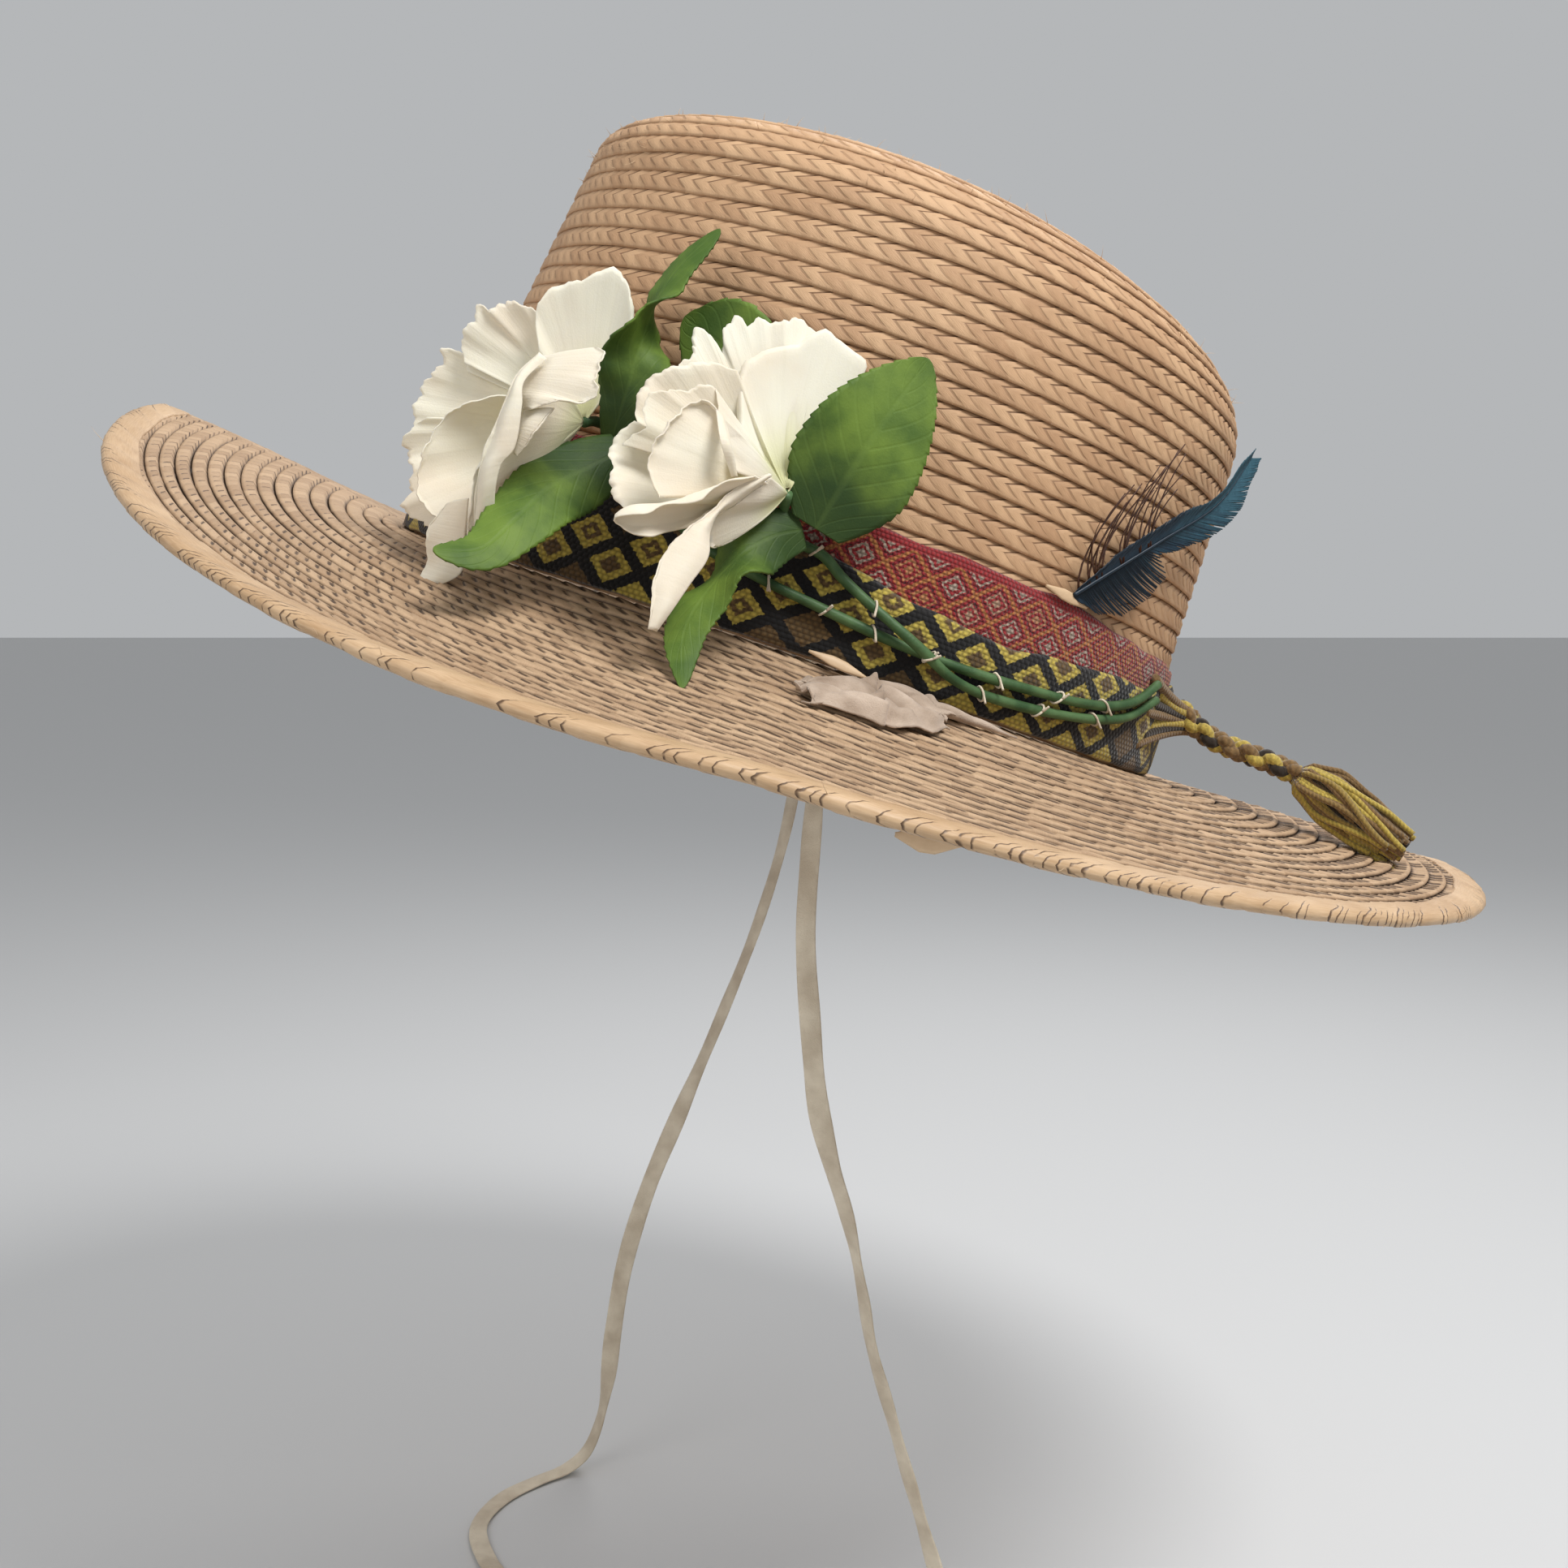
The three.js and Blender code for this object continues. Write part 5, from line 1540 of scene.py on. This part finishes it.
piece("feather_barbs", feather(), FEATHER, ["feather"])

# Plaited tail of the sash and its tassel
TAIL = np.array([
    (24.3, 104, 20.7), (25.4, 109.4, 17.6), (26.8, 114, 15.8), (28, 117.5, 15.1), (29.6, 121.2, 14.9),
    (31.2, 124.8, 14.8), (32.8, 128.8, 14.6), (34.4, 132.9, 14.2), (36, 137, 13.7),
])
TASSEL_TIP = np.array([47.5, 163.5, 5.8])
TASSEL_LENGTH = 33.0
TASSEL_PROFILE = [(0, 1.8), (0.1, 5.0), (0.36, 7.0), (0.7, 6.4), (1, 5.4)]
TAIL_STEPS = 80
# Heights and first direction on the sash of the yarns that gather into the tail
GATHER_HEIGHTS = (7, 10, 13, 16, 19, 22, 25)
GATHER_FROM = 62.0
GATHER_STEP = 2.0
GATHER_OUT = 2.6
# Where a gathered yarn bows to: degrees on, share of its height, height added, distance out
GATHER_BOW = (9.0, 0.45, 10, 6.2)
GATHER_MIDDLE = 15
GATHER_SPREAD = 0.25
GATHER_TONES = (0.5, 0.15, 0.8)
GATHER_YARN = 1.3
GATHER_STEPS = 20
# Plait: turns along the tail, swings to the side and out, the pair's own swing, yarn, face, tones
PLAIT_TURNS = 1.9
PLAIT_SWING = (2.0, 1.15)
PAIR_SWING = 0.55
PLAIT_YARN = 1.5
PLAIT_FACE = (0.2, 0.1, 1)
PLAIT_TONES = (0.8, 0.5, 0.15)
YARN_SIDES = 8
YARNS = 88
# Tassel: each yarn's turn on from the last, shortest length, sway, spread, sag, thickness, tones
YARN_TURN = 2.399963
SHORTEST = 0.76
SWAY = (0.35, 4)
SPREAD = 0.16
SAG = 1.1
TASSEL_YARN = 0.74
TASSEL_SIDES = 7
TASSEL_STEPS = 14
DARKEST = 0.12
# Binding round the tassel's neck: turns, place and step, radius and step, pitch, thread, tone
BINDING_TURNS = 4
BINDING_PLACE = (0.4, 1.0)
BINDING_RADIUS = (2.5, 0.25)
BINDING_PITCH = 0.06
BINDING_THREAD = 0.6
BINDING_SIDES = 6
BINDING_STEPS = 20
BINDING_TONE = 0.45
TAIL_LINE_STEPS = 40
UPRIGHT = np.array([0.0, 0.0, 1.0])


def tail_strands():
    """Three strands of two yarns, each swinging side to side once a turn and in and out twice."""
    line = smooth_path(TAIL, TAIL_STEPS)
    along = unit(np.gradient(line, axis=0))
    side = unit(np.cross(along, UPRIGHT))
    out = np.cross(side, along)
    turn = np.linspace(0, 2 * np.pi * PLAIT_TURNS, TAIL_STEPS)
    parts = []
    for k, tone in enumerate(PLAIT_TONES):
        a = turn + 2 * np.pi * k / 3
        path = line + side * (PLAIT_SWING[0] * np.sin(a))[:, None]
        path = path + out * (PLAIT_SWING[1] * np.sin(2 * a))[:, None]
        for half in (0, 1):
            b = 3 * turn + np.pi * half
            yarn = path + PAIR_SWING * (side * np.cos(b)[:, None] + out * np.sin(b)[:, None])
            shade = tone if half == 0 else 1.0 - tone
            parts.append(tube(yarn, circle(PLAIT_YARN, YARN_SIDES), PLAIT_FACE, tone=shade))
    return parts


def gathered_yarns():
    """Yarns of the sash's end that bow together into the start of the plait."""
    parts = []
    for k, height in enumerate(GATHER_HEIGHTS):
        turn, share, more, out = GATHER_BOW
        root = crown_wall(GATHER_FROM + GATHER_STEP * (k % 3), height, GATHER_OUT)
        reach = crown_wall(GATHER_FROM + turn, share * height + more, out)
        end = TAIL[1] + GATHER_SPREAD * (height - GATHER_MIDDLE) * UPRIGHT
        strand = bow(root, reach, end, np.linspace(0, 1, GATHER_STEPS))
        tone = GATHER_TONES[k % 3]
        parts.append(tube(strand, circle(GATHER_YARN, YARN_SIDES), (1, 1, 0.3), tone=tone))
    return parts


def tassel():
    """Yarns that leave a bound neck, follow a bulging profile and end unevenly, and the binding."""
    start = TAIL[-1]
    aim = unit(TASSEL_TIP - start)
    side = unit(np.cross(aim, UPRIGHT))
    up = np.cross(side, aim)
    parts = []
    t = np.linspace(0, 1, TASSEL_STEPS)
    for k in range(YARNS):
        inner = math.sqrt((k + 0.5) / YARNS)
        length = TASSEL_LENGTH * (SHORTEST + (1 - SHORTEST) * rng.random())
        swing = YARN_TURN * k + ripple(t, (*SWAY, k))
        r = table(TASSEL_PROFILE, t) * inner * (1 + SPREAD * rng.normal() * t)
        across = side * (r * np.cos(swing))[:, None] + up * (r * np.sin(swing) - SAG * t**2)[:, None]
        path = start + aim * (length * t)[:, None] + across
        tone = DARKEST + (1 - DARKEST) * rng.random()
        parts.append(tube(path, circle(TASSEL_YARN, TASSEL_SIDES), up, tone=tone))
    a = np.linspace(0, 2 * np.pi, BINDING_STEPS)[:, None]
    for turn in range(BINDING_TURNS):
        place = start + aim * (BINDING_PLACE[0] + BINDING_PLACE[1] * turn)
        radius = BINDING_RADIUS[0] + BINDING_RADIUS[1] * turn
        ring = place + radius * (np.cos(a) * side + np.sin(a) * up) + BINDING_PITCH * a * aim
        parts.append(tube(ring, circle(BINDING_THREAD, BINDING_SIDES), aim, tone=BINDING_TONE))
    return parts


tail = piece("tail_plait", tail_strands(), YARN, ["tail_braid"])
piece("tail_gather", gathered_yarns(), YARN)
tassel_piece = piece("tail_yarns", tassel(), YARN, ["tail_tassel"])
tail_line = worn(smooth_path(TAIL, TAIL_LINE_STEPS))

# Chin ties, in the worn frame
TIE_LEFT = [
    (98.8, 9.5, -4.9), (98.8, 9.6, -9), (98.7, 9.5, -18), (98, 9, -29), (97, 8, -42), (95, 7, -61),
    (92, 8, -80),
    (89, 10, -102), (87, 13, -116), (85, 17, -130), (82, 21, -150), (80, 23, -163), (78, 28, -182),
    (76, 34, -204),
    (74, 39, -222), (73, 41, -230),
]
TIE_RIGHT = [
    (-98.8, 9.5, -5.2), (-98.8, 9.6, -9), (-98.6, 9.2, -20), (-98, 7, -40), (-96.5, 2, -66), (-94, -7, -95),
    (-91, -19, -125), (-88, -32, -155), (-86, -43, -181), (-85, -51, -207), (-84.5, -55, -230),
    (-84, -57, -247),
    (-83.5, -60, -262), (-82, -64.5, -271.5), (-79, -71, -275.8), (-73, -79, -276.5), (-61, -89, -276.5),
    (-43, -94, -276.5), (-23, -88, -276.5), (-14, -83, -276.5),
]
TIE_STEPS = 150
TIE_SIDES = 20
TIE_HALF_THICK = 0.42
# Half width in mm and full width in metres of each tie
LEFT_HALF, RIGHT_HALF = 2.5, 3.0
LEFT_WIDTH, RIGHT_WIDTH = 0.005, 0.006
# Waves of the tape's width: height as a share, and rate along it
WIDTH_WAVES = [(0.05, 19, 0.0), (0.04, 47, 0.0)]
# How square the section is across and through
WIDE_POWER = 0.7
THICK_POWER = 0.6
# Lap of the fold: height, where it starts and is full across the tape, and its wander
LAP_HEIGHT = 0.42
LAP_LIMITS = (-0.25, -0.05)
LAP_WANDER = (0.3, 9, 0.0)
# Cup of the tape along it: height and rate
CUP = (0.16, 60, 0.0)
# Turn of the tape's flat face away from the wearer's side, in degrees, by share of its length
LEFT_TURN = [(0, 62), (0.3, 20), (0.42, 25), (0.62, 66), (0.8, 60), (1, 48)]
RIGHT_TURN = [(0, 60), (0.35, 64), (0.52, 25), (0.66, 8), (0.74, 0), (1, 0)]


def tie(points, half, turns, faces):
    """Folded tape along the tie's line: a flat section with one lapped fold, turned by degrees
    about the line. faces is the flat face's direction by share of the length."""
    line = smooth_path(points, TIE_STEPS)
    share = np.linspace(0, 1, TIE_STEPS)
    tangent = unit(np.gradient(line, axis=0))
    face = np.stack([table([(s, f[c]) for s, f in faces], share) for c in range(3)], -1)
    across = unit(np.cross(tangent, face))
    out = np.cross(across, tangent)
    angle = np.radians(table(turns, share))[:, None]
    face = out * np.cos(angle) + across * np.sin(angle)
    a = np.linspace(0, 2 * np.pi, TIE_SIDES, endpoint=False)[None]
    width = half * (1 + ripple(share, *WIDTH_WAVES))[:, None]
    wide = np.sign(np.cos(a)) * np.abs(np.cos(a)) ** WIDE_POWER
    lap = LAP_HEIGHT * ease(*LAP_LIMITS, wide + ripple(share, LAP_WANDER)[:, None])
    thick = TIE_HALF_THICK * np.sign(np.sin(a)) * np.abs(np.sin(a)) ** THICK_POWER
    thick = thick + np.where(np.sin(a) > 0, lap, 0.0) + ripple(share, CUP)[:, None] * wide
    return line, tube(line, np.stack([width * wide, thick], -1), face)


SIDE_FACE = [(0, (1, 0, 0)), (1, (1, 0, 0))]
FLOOR_FACE = [(0, (1, 0, 0)), (0.6, (1, 0, 0)), (0.74, (0.1, -0.2, 1)), (1, (0, 0, 1))]
left_line, left_part = tie(TIE_LEFT, LEFT_HALF, LEFT_TURN, SIDE_FACE)
right_line, right_part = tie(TIE_RIGHT, RIGHT_HALF, RIGHT_TURN, FLOOR_FACE)
left_tie = piece("chin_tape_left", [left_part], COTTON, ["chin_tie_left"], turn=False)
right_tie = piece("chin_tape_right", [right_part], COTTON, ["chin_tie_right"], turn=False)
for obj, line, diameter in ((left_tie, left_line, LEFT_WIDTH), (right_tie, right_line, RIGHT_WIDTH)):
    path = line * MM

# Torn cloth ends of the ties on the brim: direction, reach and half width by share of the length
TIE_END_STEPS = (96, 48)
TIE_END_DEGREES = [(0, 3.2), (0.5, 11.3), (1, 19.6)]
TIE_END_REACH = [(0, 0.28), (0.3, 0.24), (0.6, 0.18), (1, 0.16)]
TIE_END_HALF = [(0, 0.05), (0.12, 0.085), (0.45, 0.115), (0.75, 0.12), (1, 0.055)]
FOLD_HEIGHT = 4.6
TORN_WALL = 0.4
# Tears of the ends in degrees and of the sides as shares: height, rate and start
END_TEARS = [(0.7, 5, 1), (0.35, 13, 0), (0.12, 37, 2)]
SIDE_TEARS = [(0.2, 10, 2), (0.05, 31, 1)]
TORN_FROM = 0.3
# Bends of the long folds along the cloth: height, rate, start and lean
FOLD_BENDS = [(0.55, 4.2, 0.4, 0), (0.2, 11, 0, 1)]
# Folds: height, power of the crest, then rates by the bent place, along, across, and start
FOLDS = [(0.66, 0.8, 4.2, 0, 0, 0.6), (0.3, 0.7, 0, 6.3, 2.2, 0.9), (0.14, 0.9, 10, -6, 0, 0)]
HEM_LIMITS = (1.0, 0.75)
HEM_SHARE = 0.3
END_SHARE = 0.6
CLOTH_LIFT = 0.75
# Rolled hem: radius by share of its length, first degree and run, reach and run, lift, section
HEM_RADIUS = [(0, 0.8), (0.38, 1.0), (0.54, 1.75), (0.72, 1.2), (1, 0.3)]
HEM_STEPS = (50, 10)
HEM_DEGREES = (7, 25)
HEM_REACH = (0.135, 0.05)
HEM_LIFT = 0.6
HEM_SECTION = np.array([1.15, 0.9])


def on_side(degrees, mirrored):
    """Direction on the brim in radians, mirrored to the wearer's right where asked."""
    return np.radians(180 - degrees if mirrored else degrees)


def tie_end(mirrored):
    """Crumpled cloth on the brim: its middle and half width follow tables, its edges are torn in
    waves, and crossing folds with sharp crests run along it."""
    u, v = sheet_places(TIE_END_STEPS)
    from_middle = 2 * u - 1
    degrees = table(TIE_END_DEGREES, u) + ripple(v, *END_TEARS) * from_middle * np.abs(from_middle)
    side_edge = 1 + ripple(u, *((high, rate, start * np.sign(v)) for high, rate, start in SIDE_TEARS))
    half = table(TIE_END_HALF, u) * np.where(np.abs(v) > TORN_FROM, side_edge, 1.0)
    bends = ((high, rate, start + lean * v) for high, rate, start, lean in FOLD_BENDS)
    bent = v + ripple(u, *bends)
    crest = sum(
        high * np.abs(np.sin(by_bent * bent + by_u * u + by_v * v + start)) ** power
        for high, power, by_bent, by_u, by_v, start in FOLDS
    )
    hem = HEM_SHARE + (1 - HEM_SHARE) * ease(*HEM_LIMITS, np.abs(v))
    lie = CLOTH_LIFT + FOLD_HEIGHT * crest * hem * (END_SHARE + (1 - END_SHARE) * np.sin(np.pi * u))
    return brim_surface(on_side(degrees, mirrored), table(TIE_END_REACH, u) + half * v, lie)


def rolled_edge(mirrored):
    """Rolled hem that runs on from the torn end along the sash's foot, thickest past the end."""
    share = np.linspace(0, 1, HEM_STEPS[0])
    phi = on_side(HEM_DEGREES[0] + HEM_DEGREES[1] * share, mirrored)
    radius = table(HEM_RADIUS, share)
    path = brim_surface(phi, HEM_REACH[0] - HEM_REACH[1] * share, radius + HEM_LIFT)
    section = circle(1.0, HEM_STEPS[1])[None] * radius[:, None, None] * HEM_SECTION
    return tube(path, section, (0, 0, 1))


for side_name, mirrored in (("left", False), ("right", True)):
    face = tie_end(mirrored)
    cloth = shell(face, TORN_WALL)
    end = piece(f"torn_cloth_{side_name}", [cloth], SHADED_TORN_COTTON, [f"tie_end_{side_name}"])
    hem = piece(f"rolled_hem_{side_name}", [rolled_edge(mirrored)], SHADED_TORN_COTTON)

# Loose straw: chips of plait and frayed fibres
CHIP_STEPS = (14, 7)
FRAYS_TOP = 260
FRAYS_RIM = 26
CHIP_WALL = 0.4
# Chip's width at its points as a share, how fast it widens, its bow and its curl in mm
CHIP_POINT = 0.12
CHIP_WIDENS = 2.6
CHIP_BOW = 0.5
CHIP_CURL = 0.25
FRAY_STEPS = 5
FRAY_RADIUS = 0.09
FRAY_SIDES = 3
FRAY_TAPER = 1.1
FRAY_BEND = 0.35
FRAY_ASIDE = np.array([0.3, 0.5, 0.8])
# Fibres' limits of length and spread of direction on the crown and at the rim
TOP_LENGTHS = (1.2, 3.6)
TOP_SPREAD = 0.5
TOP_ROWS_FRAYED = 3
TOP_LIFT = 0.2
RIM_LENGTHS = (2, 5)
RIM_SPREAD = 0.7
RIM_OUTWARD = 0.6
RIM_HEIGHTS = (-2, 0.6)
RIM_INSET = 1.0
# Tab under the brim: direction in degrees, reach, drop, its two ends, facing and width
TAB_DEGREES = 12.6
TAB_REACH = 0.83
TAB_DROP = 0.5
TAB_ENDS = np.array([(3.0, -8.4, -3.6), (3.5, 4.4, -1.3)])
TAB_FACING = (1, 0, -0.2)
TAB_WIDTH = 5.2


def chip(ends, facing, width):
    """Pointed flake of straw between two points, bowed a little."""
    u, v = sheet_places(CHIP_STEPS)
    a, b = (np.asarray(e, float) for e in ends)
    along = unit(b - a)
    across = unit(np.cross(np.asarray(facing, float), along))
    front = np.cross(along, across)
    full = np.minimum(1, CHIP_WIDENS * np.minimum(u, 1 - u))
    half = 0.5 * width * (CHIP_POINT + (1 - CHIP_POINT) * full)
    lift = CHIP_BOW * np.sin(np.pi * u) - CHIP_CURL * v**2
    points = a + (b - a) * u[..., None] + across * (half * v)[..., None] + front * lift[..., None]
    return shell(points, CHIP_WALL)


def fray(start, direction, length):
    """Hair-thin fibre that leaves a point and bends."""
    t = np.linspace(0, 1, FRAY_STEPS)[:, None]
    bend = unit(np.cross(direction, FRAY_ASIDE))
    path = start + length * (t * direction + FRAY_BEND * t**2 * bend)
    section = circle(FRAY_RADIUS, FRAY_SIDES)[None] * (FRAY_TAPER - t[:, :, None])
    return tube(path, section, bend + ASKEW)


tab_place = brim_surface(math.radians(TAB_DEGREES), TAB_REACH, -CROWN_WALL - GAP - TAB_DROP)
tab = chip(tab_place + TAB_ENDS, TAB_FACING, TAB_WIDTH)
piece("straw_chip", [tab], LOOSE, ["straw_tab"])
# Slivers: two ends, facing and width
SLIVERS = [
    (crown_wall(3.2, 2.0, 4.6), crown_wall(11, 0.4, 5.2), (0.9, 0.2, 0.4), 2.4),
    (crown_wall(31, 34.4, 2.3), crown_wall(39, 33.4, 2.5), (0.8, 0.5, 0.2), 2.6),
]
piece("straw_slivers", [chip(s[:2], s[2], s[3]) for s in SLIVERS], LOOSE)


def frays():
    """Short fibres on the shoulder of the crown and a few longer ones at the rim."""
    parts = []
    for phi in rng.uniform(0, 2 * np.pi, FRAYS_TOP):
        station = rng.uniform(WALL_ROWS, WALL_ROWS + SHOULDER_ROWS + TOP_ROWS_FRAYED)
        stage = float(crown_station(np.array(phi), np.array(station)))
        start = crown_surface(phi, stage, TOP_LIFT)
        away = crown_surface(phi, stage, TOP_LIFT + 1) - start
        out = unit(away + rng.normal(0, TOP_SPREAD, 3))
        parts.append(fray(start, out, rng.uniform(*TOP_LENGTHS)))
    for phi in rng.uniform(0, 2 * np.pi, FRAYS_RIM):
        start = brim_surface(phi, float(reach_from_edge(phi, RIM_INSET)), rng.uniform(*RIM_HEIGHTS))
        away = RIM_OUTWARD * np.array([math.cos(phi), math.sin(phi), 0])
        out = unit(away + rng.normal(0, RIM_SPREAD, 3))
        parts.append(fray(start, out, rng.uniform(*RIM_LENGTHS)))
    return parts


piece("straw_frays", frays(), LOOSE)

# Floor, light and camera
FLOOR_HALF = 9.0
FLOOR_GREY = (0.6, 0.6, 0.6)
FLOOR_ROUGHNESS = 0.9
SKY_COLOUR = (0.84, 0.86, 0.88, 1.0)
SKY_STRENGTH = 0.55
CAMERA_PLACE = (0.508, 0.002, 0.0196)
CAMERA_DOWN = math.radians(6.32)
LENS = 42.37
SENSOR = 36.0


def floor_finish():
    """Plain pale matt floor."""
    return Finish("floor_paint", FLOOR_ROUGHNESS).done(FLOOR_GREY)


mesh = bpy.data.meshes.new("floor")
corners = [(-1, -1), (1, -1), (1, 1), (-1, 1)]
places = [(FLOOR_HALF * x, FLOOR_HALF * y, FLOOR * MM) for x, y in corners]
mesh.from_pydata(places, [], [(0, 1, 2, 3)])
mesh.materials.append(floor_finish())
floor = bpy.data.objects.new("floor", mesh)
bpy.context.scene.collection.objects.link(floor)

world = bpy.data.worlds.new("studio")
world.use_nodes = True
sky = world.node_tree.nodes["Background"]
sky.inputs["Color"].default_value = SKY_COLOUR
sky.inputs["Strength"].default_value = SKY_STRENGTH
bpy.context.scene.world = world
bpy.context.scene.view_settings.view_transform = "Standard"

HAT_MIDDLE = (0, 0, 0.03)
# Name, place, aim, size, power
LIGHTS = [
    ("key", (0.5, 0.45, 0.85), HAT_MIDDLE, 0.45, 11.0),
    ("fill", (0.75, -0.7, 0.3), HAT_MIDDLE, 0.8, 2.6),
    ("back", (-0.7, 0.3, 0.7), HAT_MIDDLE, 0.6, 4.0),
]


def aim(obj, place, target):
    """Puts an object at a place with its -Z axis towards the target."""
    obj.location = place
    away = np.asarray(place, float) - np.asarray(target, float)
    flat = math.hypot(away[0], away[1])
    obj.rotation_euler = (math.atan2(flat, away[2]), 0.0, math.atan2(away[1], away[0]) + 0.5 * math.pi)


for name, place, target, size, power in LIGHTS:
    lamp = bpy.data.lights.new(name, "AREA")
    lamp.shape = "DISK"
    lamp.size = size
    lamp.energy = power
    obj = bpy.data.objects.new(name, lamp)
    bpy.context.scene.collection.objects.link(obj)
    aim(obj, place, target)

view = bpy.data.cameras.new("camera")
view.lens = LENS
view.sensor_width = SENSOR
camera = bpy.data.objects.new("camera", view)
bpy.context.scene.collection.objects.link(camera)
camera.location = CAMERA_PLACE
camera.rotation_euler = (0.5 * math.pi - CAMERA_DOWN, 0.0, 0.5 * math.pi)
bpy.context.scene.camera = camera
